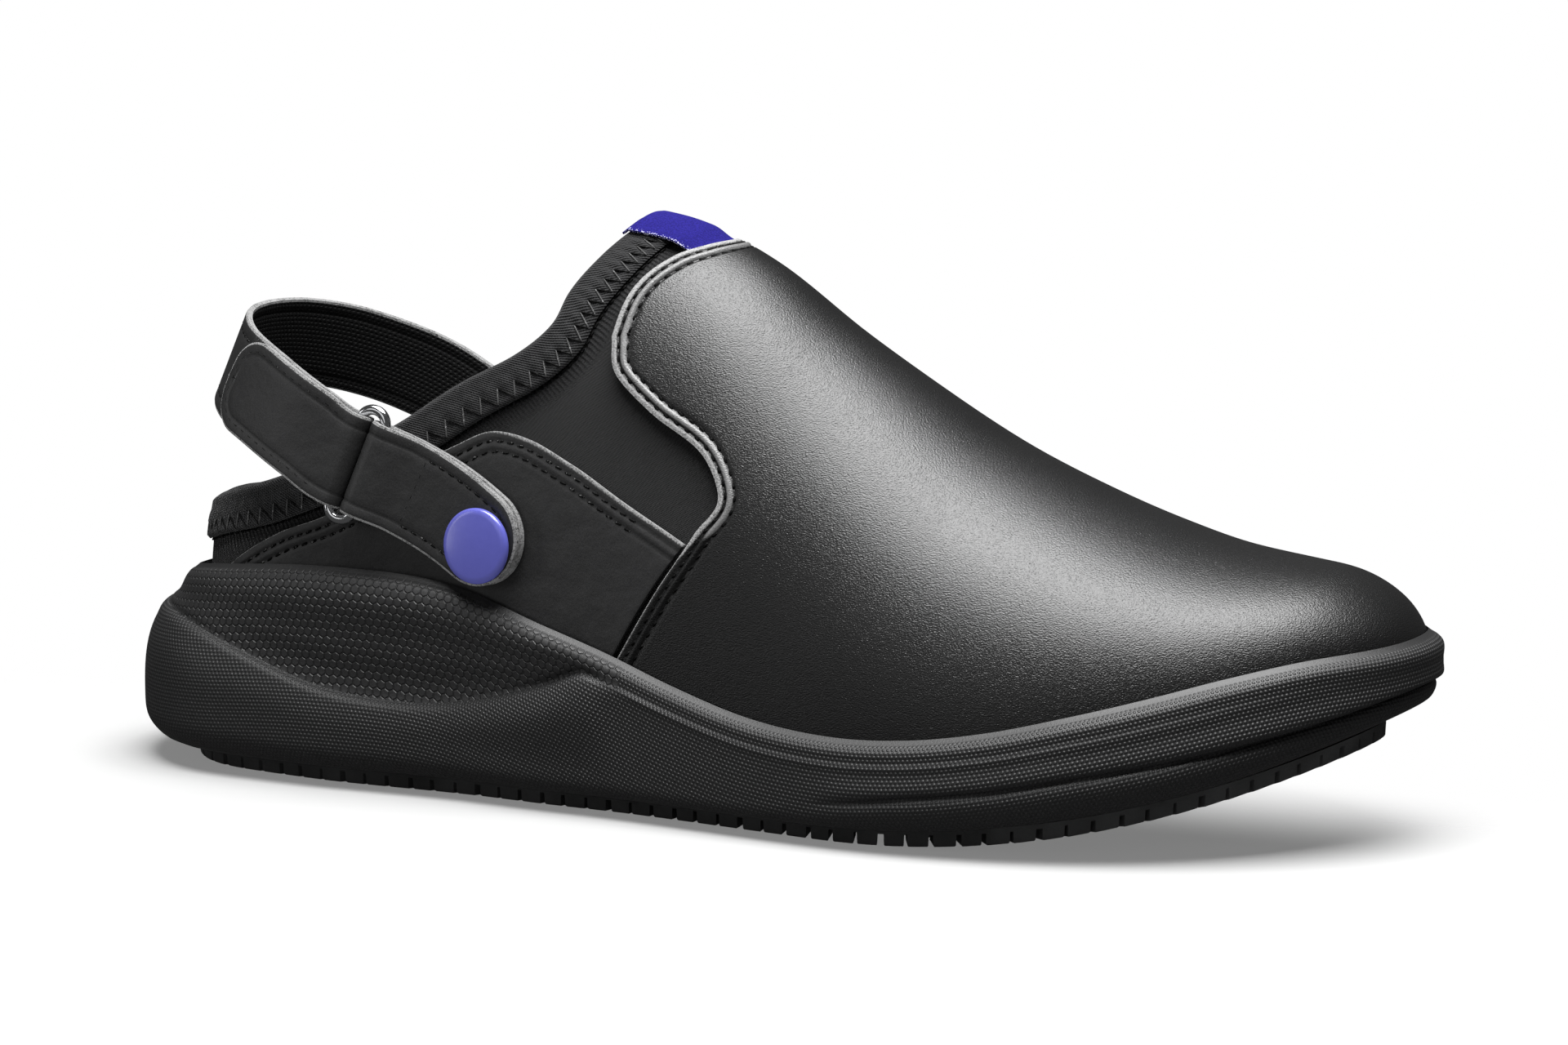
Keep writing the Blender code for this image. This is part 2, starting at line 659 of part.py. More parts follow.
class StrapLine:
    """The strap's middle line by distance, measured from the ring, positive towards the heel."""

    def __init__(self):
        rows = full_strap_line()
        self.line = rows[:, :3]
        self.normal, self.width = strap_frames(self.line, rows[:, 3])
        wanted = off_last(dome_point(ANCHOR[-1], -1), RING_OFFSET)
        index = int(np.argmin(np.linalg.norm(self.line - wanted, axis=1)))
        self.ring = self.line[index]
        self.ring_normal = self.normal[index]
        self.ring_width = self.width[index]
        self.ring_ahead = unit(self.line[index + 1] - self.line[index - 1])
        lengths = run_lengths(self.line)
        self.distance = lengths - lengths[index]

    def at(self, distances):
        """Middle, normal and width direction at distances from the ring, straight next to it."""
        picked = []
        for values in (self.line, self.normal, self.width):
            picked.append(np.stack([np.interp(distances, self.distance, values[:, k]) for k in range(3)], -1))
        near = 1 - ease(RING_HALF_WIDTH, RING_HALF_WIDTH + LOOP_EASE, np.abs(distances))[:, None]
        straight = self.ring + np.outer(distances, self.ring_ahead)
        centre = (1 - near) * picked[0] + near * straight
        normal = (1 - near) * picked[1] + near * self.ring_normal
        width = (1 - near) * picked[2] + near * self.ring_width
        return centre, unit(normal), unit(width)

    def folded(self, sign, reach_low, low_steps, reach_high, high_steps):
        """A band that runs under, turns round one bar of the ring and comes back on top."""
        bar = sign * RING_HALF_WIDTH
        turn = WIRE / 2 + CLEARANCE + STRAP_WALL / 2
        flat = (STRAP_WALL + LAYER_GAP) / 2
        low = bar + sign * (np.concatenate([reach_low - low_steps, [0.0]]))
        high = bar + sign * (np.concatenate([[0.0], (reach_high - high_steps)[::-1]]))
        low_gap = turn + (flat - turn) * ease(0.0, LOOP_EASE, np.abs(low - bar))
        high_gap = turn + (flat - turn) * ease(0.0, LOOP_EASE, np.abs(high - bar))
        centre_low, normal_low, width_low = self.at(low)
        centre_high, normal_high, width_high = self.at(high)
        inward = -sign * self.ring_ahead
        angles = np.radians([-60.0, -30.0, 0.0, 30.0, 60.0])
        spoke = np.outer(np.cos(angles), inward) + np.outer(np.sin(angles), self.ring_normal)
        centres = np.vstack([centre_low - normal_low * low_gap[:, None],
                             self.ring + bar * self.ring_ahead + turn * spoke,
                             centre_high + normal_high * high_gap[:, None]])
        normals = np.vstack([-normal_low, spoke, normal_high])
        widths = np.vstack([width_low, np.repeat([self.ring_width], len(angles), axis=0), width_high])
        return centres, normals, widths


def make_anchor(strap, finish):
    """The short outer strap end: two layers under the button, folded round the ring's front bar."""
    reach = np.abs(strap.distance[0]) - RING_HALF_WIDTH
    radius = STRAP_WIDTH / 2 - TINY
    steps = np.concatenate([end_steps(radius), np.linspace(radius, reach, 9)[1:-1]])
    steps = np.sort(np.concatenate([steps, [reach - 0.25 * LOOP_EASE]]))
    centres, normals, widths = strap.folded(-1, reach, steps, reach, steps)
    halves = rounded_half_width(steps, radius)
    full = np.full(5 + 2, STRAP_WIDTH / 2)
    half_widths = np.concatenate([halves, full, halves[::-1]])
    return ribbon_object("strap_anchor", centres, normals, widths, half_widths, finish)


def make_strap(strap, finish):
    """The heel strap: from the inner button round the heel, round the ring and back as the tab."""
    reach = strap.distance[-1] - RING_HALF_WIDTH
    radius = STRAP_WIDTH / 2 - TINY
    low_steps = np.concatenate([end_steps(radius), np.linspace(radius, reach, 41)[1:-1]])
    low_steps = np.sort(np.concatenate([low_steps, [reach - 0.25 * LOOP_EASE]]))
    tab = TAB_LENGTH - RING_HALF_WIDTH
    high_steps = np.concatenate([end_steps(TAB_ROUND), np.linspace(TAB_ROUND, tab, 8)[1:-1]])
    high_steps = np.sort(np.concatenate([high_steps, [tab - 0.25 * LOOP_EASE]]))
    centres, normals, widths = strap.folded(1, reach, low_steps, tab, high_steps)
    full = np.full(5 + 2, STRAP_WIDTH / 2)
    low_half = rounded_half_width(low_steps, radius)
    high_half = rounded_half_width(high_steps, TAB_ROUND)
    half_widths = np.concatenate([low_half, full, high_half[::-1]])
    return ribbon_object("heel_strap", centres, normals, widths, half_widths, finish)


def make_ring(strap, finish):
    """The wire ring: a long round-cornered loop through both strap folds."""
    half_length = STRAP_WIDTH / 2 + RING_OVERHANG
    corner = RING_CORNER
    path = []
    for sign_u, sign_v, first in ((1, 1, 0), (-1, 1, 90), (-1, -1, 180), (1, -1, 270)):
        for angle in (first, first + 30, first + 60, first + 90):
            a = math.radians(angle)
            u = sign_u * (RING_HALF_WIDTH - corner) + corner * math.cos(a)
            v = sign_v * (half_length - corner) + corner * math.sin(a)
            path.append((u, v))
    path = np.array(path)
    ahead = np.roll(path, -1, axis=0) - np.roll(path, 1, axis=0)
    outward = unit(np.stack([ahead[:, 1], -ahead[:, 0]], -1))
    rows = []
    for angle in np.arange(8) * math.pi / 4:
        spread = path + outward * WIRE / 2 * math.cos(angle)
        lift = WIRE / 2 * math.sin(angle)
        across = np.outer(spread[:, 0], strap.ring_ahead) + np.outer(spread[:, 1], strap.ring_width)
        rows.append(strap.ring + across + strap.ring_normal * lift)
    return ring_object("strap_ring", rows, finish, closed_tube=True)


def button_mesh(finish):
    """A flat-backed round button with a low dome, turned about its own axis."""
    profile = [(0.90 * BUTTON_RADIUS, 0.0), (BUTTON_RADIUS, 0.35 * BUTTON_RIM), (BUTTON_RADIUS, BUTTON_RIM)]
    for angle in (25.0, 50.0, 72.0):
        a = math.radians(angle)
        profile.append((BUTTON_RADIUS * math.cos(a), BUTTON_RIM + BUTTON_DOME * math.sin(a)))
    count = 28
    turn = 2 * math.pi * np.arange(count) / count
    rows = [np.stack([r * np.cos(turn), r * np.sin(turn), np.full(count, h)], -1) for r, h in profile]
    return ring_object("button_outer", rows, finish)


def place_button(button, side, lift):
    """Stand a button on the strap, its axis along the last's normal."""
    dome = dome_point(BUTTON_PLACE, side)
    strap_point = off_last(dome, lift)
    normal = last_normal(dome)
    forward = unit(np.cross([0.0, 0.0, 1.0], normal))
    up = np.cross(normal, forward)
    frame = Matrix.Identity(4)
    for row in range(3):
        for column, axis in enumerate((forward, up, normal)):
            frame[row][column] = axis[row]
        frame[row][3] = strap_point[row]
    button.matrix_world = frame


def make_buttons(finish):
    outer = button_mesh(finish)
    inner = bpy.data.objects.new("button_inner", outer.data)
    bpy.context.collection.objects.link(inner)
    two_layers = layers_lift() + LAYER_GAP / 2 + STRAP_WALL + 2 * CLEARANCE
    one_layer = layers_lift() - LAYER_GAP / 2 + 2 * CLEARANCE
    place_button(outer, -1, two_layers)
    place_button(inner, 1, one_layer)
    return [outer, inner]


def edge_along(rows, across):
    """Where an edge over the throat lies along the half sphere, for places across it."""
    curve = along_curve([dome_point(edge, -1) for edge in rows], np.linspace(0.0, 1.0, CURVE_POINTS))
    return np.interp(-np.abs(across), curve[:, 1], curve[:, 0])


def make_label(finish):
    """The woven label over the throat, between the vamp's edge and the collar."""
    throat = COLLAR[-1].station
    half_width = LAST_WIDTH / 2 * float(section("width", throat) * (1 + section("shoulder", throat)))
    reach = LABEL_WIDTH / 2 / half_width
    across = np.linspace(-reach, reach, 9)
    front = edge_along(VAMP_THROAT, across) - 2 * LABEL_INSET / LAST_LENGTH
    back = edge_along(COLLAR[-4:], across)
    rows = []
    for share in np.linspace(0.0, 1.0, 5):
        along = (1 - share) * front + share * back
        rows.append(np.stack([along, across, np.sqrt(1 - along ** 2 - across ** 2)], -1))
    low = OVERLAY_GAP + BINDING_WALL + 2 * CLEARANCE
    return shell_object("throat_label", np.array(rows), low, low + LABEL_WALL, False, finish)


def sole_middle(sole):
    """Where the middle of the sole's plan lies."""
    corners = np.array([vertex.co[:] for vertex in sole.data.vertices])
    return (corners.min(axis=0) + corners.max(axis=0)) / 2


def main():
    for item in list(bpy.data.objects):
        bpy.data.objects.remove(item, do_unlink=True)
    rubber = material("outsole_rubber", (0.030, 0.031, 0.033), 0.75)
    foam = material("midsole_foam", (0.022, 0.023, 0.025), 0.62)
    fabric = material("stretch_fabric", (0.010, 0.010, 0.012), 0.90)
    leather = material("vamp_leather", (0.016, 0.016, 0.017), 0.42)
    smooth_leather = material("strap_leather", (0.014, 0.014, 0.015), 0.50)
    chrome = material("ring_chrome", (0.75, 0.76, 0.78), 0.12, 1.0)
    blue = material("button_blue", (0.10, 0.10, 0.36), 0.25)
    woven = material("label_blue", (0.035, 0.030, 0.32), 0.80)
    strap = StrapLine()
    pieces = [
        make_outsole(rubber), make_midsole(foam), make_insole(fabric), make_upper(fabric), make_vamp(leather),
        make_quarter(smooth_leather), make_binding(fabric), make_anchor(strap, smooth_leather),
        make_strap(strap, smooth_leather), make_ring(strap, chrome), make_label(woven),
    ]
    pieces += make_buttons(blue)
    carrier = bpy.data.objects.new("chef_clog", None)
    bpy.context.collection.objects.link(carrier)
    shift = sole_middle(pieces[1])
    for piece in pieces:
        piece.location.x -= shift[0]
        piece.location.y -= shift[1]
        piece.parent = carrier


main()
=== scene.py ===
"""Chef clog: the detailed pieces, materials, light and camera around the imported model."""

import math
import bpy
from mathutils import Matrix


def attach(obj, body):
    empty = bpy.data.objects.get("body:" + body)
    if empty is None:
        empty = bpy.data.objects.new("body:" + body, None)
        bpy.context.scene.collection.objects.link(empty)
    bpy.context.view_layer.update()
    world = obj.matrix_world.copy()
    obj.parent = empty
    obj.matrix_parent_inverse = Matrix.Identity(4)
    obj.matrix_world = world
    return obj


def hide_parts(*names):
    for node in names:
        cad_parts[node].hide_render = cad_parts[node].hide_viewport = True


bl_info = {
    "name": "Chef clog",
    "version": (1, 0, 0),
    "blender": (4, 5, 0),
    "location": "View3D > Sidebar > Clog",
    "description": "Makes the sole, uppers, straps, seams and small parts of a chef clog",
    "category": "Object",
}

from collections import namedtuple

import bpy
import numpy as np
from mathutils import Vector

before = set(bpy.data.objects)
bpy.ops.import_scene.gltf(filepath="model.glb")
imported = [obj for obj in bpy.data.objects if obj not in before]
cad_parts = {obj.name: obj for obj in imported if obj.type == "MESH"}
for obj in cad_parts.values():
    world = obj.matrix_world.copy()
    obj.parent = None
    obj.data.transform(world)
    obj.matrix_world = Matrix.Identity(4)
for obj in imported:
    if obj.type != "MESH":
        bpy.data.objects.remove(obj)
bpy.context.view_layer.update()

# Lengths are in metres and angles in radians

# The last: the foot form that the upper is drawn over, with its seat and the toe's lift
LAST_LENGTH = 0.2817
LAST_WIDTH = 0.0955
INSTEP = 0.104
RIDGE_SHIFT = 0.005
HEEL_SEAT = 0.033
BALL_SEAT = 0.014
TOE_SPRING = 0.023
SPRING_START = 0.60

# The foam sole: its rim, flares, crease and groove
RIM_HEIGHT = 0.0165
HEEL_FLARE = 0.017
TOE_FLARE = 0.0053
RIM_LIP = 0.0028
RIM_ROUND = 0.0018
CREASE_DEPTH = 0.0020
GROOVE_HEIGHT = 0.0343
GROOVE_DEPTH = 0.0007
GROOVE_WIDTH = 0.0014
CREASE_HALF_WIDTH = 0.0012
BAND_INSET = 0.0015
SHOULDER_SHARE = 0.62

# The tread: its inset from the sole's side, its plate and its lugs
TREAD_INSET = 0.0085
PLATE = 0.0014
LUG_HEIGHT = 0.0024

# The uppers and the footbed: gaps, walls and the collar's band
CLEARANCE = 0.0003
OVERLAY_GAP = 0.0006
UPPER_WALL = 0.0020
VAMP_WALL = 0.0018
QUARTER_WALL = 0.0013
BINDING_WIDTH = 0.0085
BINDING_WALL = 0.0008
BINDING_ROLL = 0.0017
INSOLE_THICKNESS = 0.0040
SEAM_GAP = 0.0007

# The strap and its ring: sizes, gaps between layers and the ring's corners
STRAP_WIDTH = 0.0215
STRAP_WALL = 0.0017
STRAP_REACH = 0.0385
STRAP_HEIGHT = 0.0950
STRAP_LEAN = math.radians(22.0)
LAYER_GAP = 0.0003
LOOP_EASE = 0.010
TAB_LENGTH = 0.042
TAB_ROUND = 0.0090
ROUND_END = STRAP_WIDTH / 2 - 1e-6
WIRE = 0.0023
RING_HALF_WIDTH = 0.00318
RING_OVERHANG = 0.0021
RING_CORNER = 0.0031
RING_OFFSET = 0.0056

# The buttons and the label
BUTTON_RADIUS = 0.0083
BUTTON_RIM = 0.0012
BUTTON_DOME = 0.0011
LABEL_WIDTH = 0.021
LABEL_WALL = 0.0006

# Pitch of the strap's mesh, the sole's dots, its honeycomb and the cloths' weaves
MESH_PITCH = 0.00125
DOT_PITCH = 0.00100
COMB_PITCH = 0.00205
GORE_PITCH = 0.00050
BAND_PITCH = 0.00055
LINING_PITCH = 0.0011
FOOTBED_PITCH = 0.0009

# Tread lugs: how many stand at the edge, steps of the outline for each, their reach inward, how
# far lugs sink into the plate, and the field of hexagons
EDGE_LUGS = 112
EDGE_LUG_STEPS = 8
EDGE_LUG_REACH = 0.0068
LUG_SINK = 0.0006
HEXAGON_INSET = 0.0092
HEXAGON_PITCH = 0.0092
HEXAGON_RADIUS = 0.0040
HEXAGON_ROW_SHARE = 0.866

# Thread thickness on each piece, and how far its stitches' middles lie under the leather's face
VAMP_THREAD = 0.00080
QUARTER_THREAD = 0.00065
STRAP_THREAD = 0.0006
ZIGZAG_THREAD = 0.00042
COLLAR_THREAD = 0.0005
VAMP_SINK = 0.00040
QUARTER_SINK = 0.00018
STRAP_SINK = 0.00025

# The zigzag's low tips over the band's lower edge, and its high tips under the collar's edge
ZIGZAG_LOW = 0.0004
ZIGZAG_HIGH = 0.0044

# From the ring's bar to the anchor's cross seam and to the tab's seams, and rows along a strap
CROSS_SEAM = 0.0125
TAB_SEAM_START = 0.004
STRAP_STEP = 0.0011

# Floor paper: its reach from the middle, shares of it and places behind the clog where it fades
# out, and how much it covers
FLOOR_REACH_X = 0.36
FLOOR_REACH_Y = 0.30
FLOOR_FADE = (0.72, 1.25)
FLOOR_BACK = (-0.012, 0.060)
FLOOR_COVER = 0.80

# Points along a dense curve, and a length too small to matter
CURVE_POINTS = 600
TINY = 1e-9

Section = namedtuple("Section", "station width centre seat height shoulder rim flare crease groove tread")
SECTIONS = [
    Section(0.00, 1.450, -0.0068, 1.00, 1.300, 0.30, 0.640, 1.000, 1.06, 0.46, 1.50),
    Section(0.03, 1.330, -0.0068, 1.00, 1.240, 0.30, 0.780, 0.745, 1.03, 0.44, 1.40),
    Section(0.08, 1.120, -0.0068, 1.00, 1.150, 0.30, 0.900, 0.490, 0.88, 0.41, 1.25),
    Section(0.17, 0.920, -0.0068, 1.00, 1.090, 0.30, 0.990, 0.305, 0.65, 0.37, 1.05),
    Section(0.28, 0.770, -0.0168, 0.94, 1.050, 0.28, 0.920, 0.230, 0.63, 0.34, 1.00),
    Section(0.36, 0.742, -0.0348, 0.70, 0.995, 0.24, 0.800, 0.190, 0.80, 0.30, 1.00),
    Section(0.42, 0.743, -0.0418, 0.50, 0.975, 0.18, 0.730, 0.145, 0.97, 0.28, 1.00),
    Section(0.48, 0.790, -0.0418, 0.30, 0.926, 0.12, 0.636, 0.110, 0.80, 0.26, 1.00),
    Section(0.55, 0.874, -0.0368, 0.12, 0.826, 0.07, 0.550, 0.085, 0.65, 0.25, 1.00),
    Section(0.62, 0.985, -0.0218, 0.02, 0.733, 0.07, 0.550, 0.075, 0.58, 0.29, 1.00),
    Section(0.68, 1.070, -0.0038, 0.00, 0.651, 0.11, 0.576, 0.075, 0.60, 0.36, 1.00),
    Section(0.74, 1.130, 0.0112, 0.00, 0.584, 0.17, 0.630, 0.070, 0.66, 0.43, 1.00),
    Section(0.80, 1.175, 0.0262, 0.00, 0.526, 0.24, 0.700, 0.060, 0.75, 0.53, 1.00),
    Section(0.86, 1.210, 0.0482, 0.00, 0.480, 0.30, 0.720, 0.050, 0.87, 0.63, 1.05),
    Section(0.91, 1.235, 0.0682, 0.00, 0.472, 0.34, 0.700, 0.040, 0.99, 0.73, 1.12),
    Section(0.95, 1.260, 0.0872, 0.00, 0.482, 0.36, 0.620, 0.020, 1.08, 0.83, 1.25),
    Section(1.00, 1.300, 0.1082, 0.00, 0.460, 0.36, 0.380, 0.000, 1.18, 0.98, 1.40),
]

# Edges on the last: station from heel to toe, rise from the seat (0) to the ridge (1)
COLLAR = [
    (0.0097, 1.0), (0.020, 0.70), (0.050, 0.528), (0.108, 0.462), (0.167, 0.473), (0.225, 0.521),
    (0.267, 0.584), (0.316, 0.668), (0.347, 0.760), (0.356, 0.834), (0.373, 0.922), (0.387, 0.980),
    (0.392, 1.0),
]
VAMP_SIDE = [
    (0.405, 0.0), (0.429, 0.126), (0.457, 0.278), (0.489, 0.450), (0.505, 0.564), (0.488, 0.621),
    (0.442, 0.649), (0.409, 0.694), (0.399, 0.768),
]
VAMP_THROAT = [(0.399, 0.768), (0.404, 0.851), (0.428, 0.950), (0.443, 0.983), (0.452, 1.0)]
QUARTER_TOP = [
    (0.4835, 0.420), (0.422, 0.450), (0.377, 0.492), (0.340, 0.517), (0.310, 0.512), (0.274, 0.465),
    (0.215, 0.388), (0.157, 0.324), (0.116, 0.304), (0.072, 0.253), (0.055, 0.215), (0.030, 0.190),
    (0.008, 0.310), (0.0009, 1.0),
]
ANCHOR = [(0.336, 0.238), (0.309, 0.274), (0.255, 0.3465), (0.2145, 0.408), (0.1946, 0.438)]
BUTTON_PLACE = (0.3095, 0.265)

# The strap's middle line round the heel: forward, sideways, height and lean, as shares
STRAP = [
    (0.168, 0.990, 0.805, 0.45), (0.136, 0.970, 0.857, 0.55), (0.107, 0.900, 0.900, 0.70),
    (0.062, 0.700, 0.955, 0.90), (0.034, 0.390, 0.985, 1.00), (0.024, 0.000, 0.993, 1.00),
]

LENGTH = HEEL_FLARE + LAST_LENGTH + TOE_FLARE
LAST_BACK = -LENGTH / 2 + HEEL_FLARE
RIM_INNER = OVERLAY_GAP + VAMP_WALL + CLEARANCE
RIM_OUTER = RIM_INNER + RIM_LIP
TREAD_TOP = PLATE + LUG_HEIGHT


def smooth_table(xs, ys, x):
    """A smooth curve through the points of a table."""
    xs = np.asarray(xs, float)
    ys = np.asarray(ys, float)
    x = np.clip(np.asarray(x, float), xs[0], xs[-1])
    gaps = np.diff(xs)
    rises = np.diff(ys) / gaps
    slopes = np.empty(len(xs))
    slopes[1:-1] = (rises[1:] * gaps[:-1] + rises[:-1] * gaps[1:]) / (gaps[1:] + gaps[:-1])
    slopes[0] = rises[0]
    slopes[-1] = rises[-1]
    i = np.clip(np.searchsorted(xs, x) - 1, 0, len(xs) - 2)
    t = (x - xs[i]) / gaps[i]
    start = ys[i] * (1 + 2 * t) * (1 - t) ** 2 + slopes[i] * gaps[i] * t * (1 - t) ** 2
    end = ys[i + 1] * t * t * (3 - 2 * t) + slopes[i + 1] * gaps[i] * t * t * (t - 1)
    return start + end


def section(column, station):
    """One column of the section table at a station."""
    values = [getattr(row, column) for row in SECTIONS]
    return smooth_table([row.station for row in SECTIONS], values, station)


def station_at(x):
    return np.clip((x - LAST_BACK) / LAST_LENGTH, 0.0, 1.0)


def ease(low, high, value):
    """0 below low, 1 above high, smooth between."""
    t = np.clip((value - low) / (high - low), 0.0, 1.0)
    return t * t * (3 - 2 * t)


def hump(centre, width, value):
    """A smooth bump of height 1 at a centre."""
    return np.exp(-((value - centre) / width) ** 2)


def spring(station):
    """How far the toe lifts off the floor."""
    return TOE_SPRING * np.clip((station - SPRING_START) / (1 - SPRING_START), 0.0, 1.0) ** 2.2


def seat_height(station):
    return BALL_SEAT + (HEEL_SEAT - BALL_SEAT) * section("seat", station) + spring(station)


def rim_height(station):
    return seat_height(station) + RIM_HEIGHT * section("rim", station)


def unit(vectors):
    vectors = np.asarray(vectors, float)
    return vectors / np.maximum(np.linalg.norm(vectors, axis=-1, keepdims=True), TINY)


def on_last(dome):
    """Carry points of a unit half sphere (toe at +X, ridge at +Z) to the last's surface."""
    dome = unit(dome)
    along, across, up = dome[..., 0], dome[..., 1], dome[..., 2]
    station = (1 + along) / 2
    round_off = np.sqrt(across ** 2 + up ** 2) + TINY
    rise = up / round_off
    x = LAST_BACK + station * LAST_LENGTH
    middle = LAST_WIDTH * section("centre", station) + RIDGE_SHIFT * round_off * rise ** 2
    fullness = section("width", station) * (1 + section("shoulder", station) * rise ** 2)
    y = middle + LAST_WIDTH / 2 * fullness * across
    z = seat_height(station) + INSTEP * section("height", station) * up
    return np.stack([x, y, z], -1)


def last_basis(dome):
    """Two directions on the half sphere and what they become on the last."""
    dome = unit(dome)
    step = 1e-3
    helper = np.where(np.abs(dome[..., 1:2]) < 0.8, [0.0, 1.0, 0.0], [1.0, 0.0, 0.0])
    first = unit(np.cross(helper, dome))
    second = np.cross(dome, first)
    u = (on_last(dome + step * first) - on_last(dome - step * first)) / (2 * step)
    v = (on_last(dome + step * second) - on_last(dome - step * second)) / (2 * step)
    return first, second, u, v


def last_normal(dome):
    _, _, u, v = last_basis(dome)
    return unit(np.cross(u, v))


def off_last(dome, offset):
    return on_last(dome) + np.asarray(offset)[..., None] * last_normal(dome)


def slide(dome, move):
    """Half-sphere points moved so that the last's points move by a small vector."""
    first, second, u, v = last_basis(dome)
    uu = np.sum(u * u, -1)
    uv = np.sum(u * v, -1)
    vv = np.sum(v * v, -1)
    um = np.sum(u * move, -1)
    vm = np.sum(v * move, -1)
    scale = uu * vv - uv * uv
    a = (um * vv - vm * uv) / scale
    b = (vm * uu - um * uv) / scale
    return unit(unit(dome) + a[..., None] * first + b[..., None] * second)


def inset_path(dome, distance):
    """A path beside an edge on the last, to the left of its direction seen from outside."""
    steps = 4
    path = unit(dome)
    for _ in range(steps):
        tangent = unit(np.gradient(on_last(path), axis=0))
        left = np.cross(last_normal(path), tangent)
        path = slide(path, left * distance / steps)
    return path


def dome_point(edge, side):
    """Half-sphere point of a station and rise; side is -1 for the outer side and +1 for the inner."""
    station, rise = edge
    round_off = 2 * math.sqrt(station * (1 - station))
    across = side * round_off * math.sqrt(max(1 - rise ** 2, 0.0))
    return np.array([2 * station - 1, across, round_off * rise])


def domes(edges, side):
    """Half-sphere points of an edge's table."""
    return [dome_point(edge, side) for edge in edges]


def both_sides(edges):
    """Half-sphere points of an edge along the outer side and back along the inner side."""
    return domes(edges, -1) + domes(edges[-2::-1], 1)


def run_lengths(points):
    """Distance along a line of points, from its start to each."""
    steps = np.linalg.norm(np.diff(points[:, :3], axis=0), axis=1)
    return np.concatenate([[0.0], np.cumsum(steps)])


def along_curve(points, shares):
    """Points at shares of length along a smooth curve through the given points; further columns follow."""
    points = np.asarray(points, float)
    columns = range(points.shape[1])
    knots = run_lengths(points)
    dense = np.linspace(0.0, knots[-1], CURVE_POINTS)
    curve = np.stack([smooth_table(knots, points[:, k], dense) for k in columns], -1)
    lengths = run_lengths(curve)
    wanted = np.asarray(shares, float) * lengths[-1]
    return np.stack([np.interp(wanted, lengths, curve[:, k]) for k in columns], -1)


def spaced(points, pitch, columns=None):
    """Points at a pitch along a polyline, with the columns of a second array carried along."""
    lengths = run_lengths(points)
    count = max(2, int(round(lengths[-1] / pitch)))
    wanted = (np.arange(count) + 0.5) * lengths[-1] / count
    rows = np.hstack([points, columns]) if columns is not None else points
    return np.stack([np.interp(wanted, lengths, rows[:, k]) for k in range(rows.shape[1])], -1)


def edge_steps(fine, fine_count, coarse_count, both=True):
    """Places from 0 to 1 with fine_count steps of a share near the end, or both ends."""
    ends = fine * np.linspace(0.0, 1.0, fine_count + 1)
    if both:
        middle = np.linspace(fine, 1 - fine, coarse_count + 1)[1:-1]
        return np.concatenate([ends, middle, 1 - ends[::-1]])
    middle = np.linspace(0.0, 1 - fine, coarse_count + 1)[:-1]
    return np.concatenate([middle, 1 - ends[::-1]])


def nearest_distance(points, line):
    """Distance from each point to a polyline's dense points."""
    flat = points.reshape(-1, 3)
    result = np.empty(len(flat))
    for start in range(0, len(flat), 4000):
        part = flat[start:start + 4000]
        gaps = ((part[:, None] - line[None]) ** 2).sum(-1)
        result[start:start + 4000] = np.sqrt(gaps.min(1))
    return result.reshape(points.shape[:-1])


def collar_loop(count):
    """The collar's edge, from the back round the outer side, the throat and the inner side."""
    return unit(along_curve(both_sides(COLLAR), np.arange(count) / count))


def seat_loop(count):
    """The last's lower edge in the same order as the collar's."""
    angle = 2 * math.pi * np.arange(count) / count
    return np.stack([-np.cos(angle), -np.sin(angle), np.zeros(count)], -1)


def beside_last(loop, outward, height):
    """Points at a height beside the last, pushed outward in plan."""
    station = (1 + loop[:, 0]) / 2
    up = np.clip((height - seat_height(station)) / (INSTEP * section("height", station)), 0.0, 0.5)
    flat = np.sqrt(1 - up ** 2)
    dome = np.stack([loop[:, 0] * flat, loop[:, 1] * flat, up], -1)
    points = on_last(dome)
    ahead = np.roll(points, -1, axis=0) - np.roll(points, 1, axis=0)
    normal = unit(np.stack([ahead[:, 1], -ahead[:, 0], np.zeros(len(loop))], -1))
    points = points + normal * np.broadcast_to(outward, len(loop))[:, None]
    points[:, 2] = height
    return points


def grid_normals(points):
    """Outward normals of a closed loop's grid: rows rise, columns run with the outer side first."""
    ahead = np.gradient(points, axis=1)
    ahead[:, 0] = ahead[:, -1] = points[:, 1] - points[:, -2]
    return unit(np.cross(ahead, np.gradient(points, axis=0)))


def wrap(grid):
    """A loop's grid with its first column repeated at the end."""
    return np.concatenate([grid, grid[:, :1]], axis=1)


def grid_lengths(points):
    """Metres along the middle row and up each column of a grid, for its cloth coordinates."""
    middle = points[len(points) // 2]
    along = run_lengths(middle)
    steps = np.linalg.norm(np.diff(points, axis=0), axis=-1)
    up = np.vstack([np.zeros(points.shape[1]), np.cumsum(steps, axis=0)])
    return np.stack([np.broadcast_to(along, up.shape), up], -1)


# Modelling steps that every piece shares

def only(thing):
    """Leave one object selected and active."""
    bpy.ops.object.select_all(action="DESELECT")
    thing.select_set(True)
    bpy.context.view_layer.objects.active = thing


def apply_modifier(thing, kind, **settings):
    only(thing)
    modifier = thing.modifiers.new(kind.title(), kind)
    for name, value in settings.items():
        setattr(modifier, name, value)
    bpy.ops.object.modifier_apply(modifier=modifier.name)


def edit(thing, *steps):
    """Run edit-mode operators on everything in a mesh."""
    only(thing)
    bpy.ops.object.mode_set(mode="EDIT")
    bpy.ops.mesh.select_all(action="SELECT")
    for step in steps:
        step()
    bpy.ops.object.mode_set(mode="OBJECT")


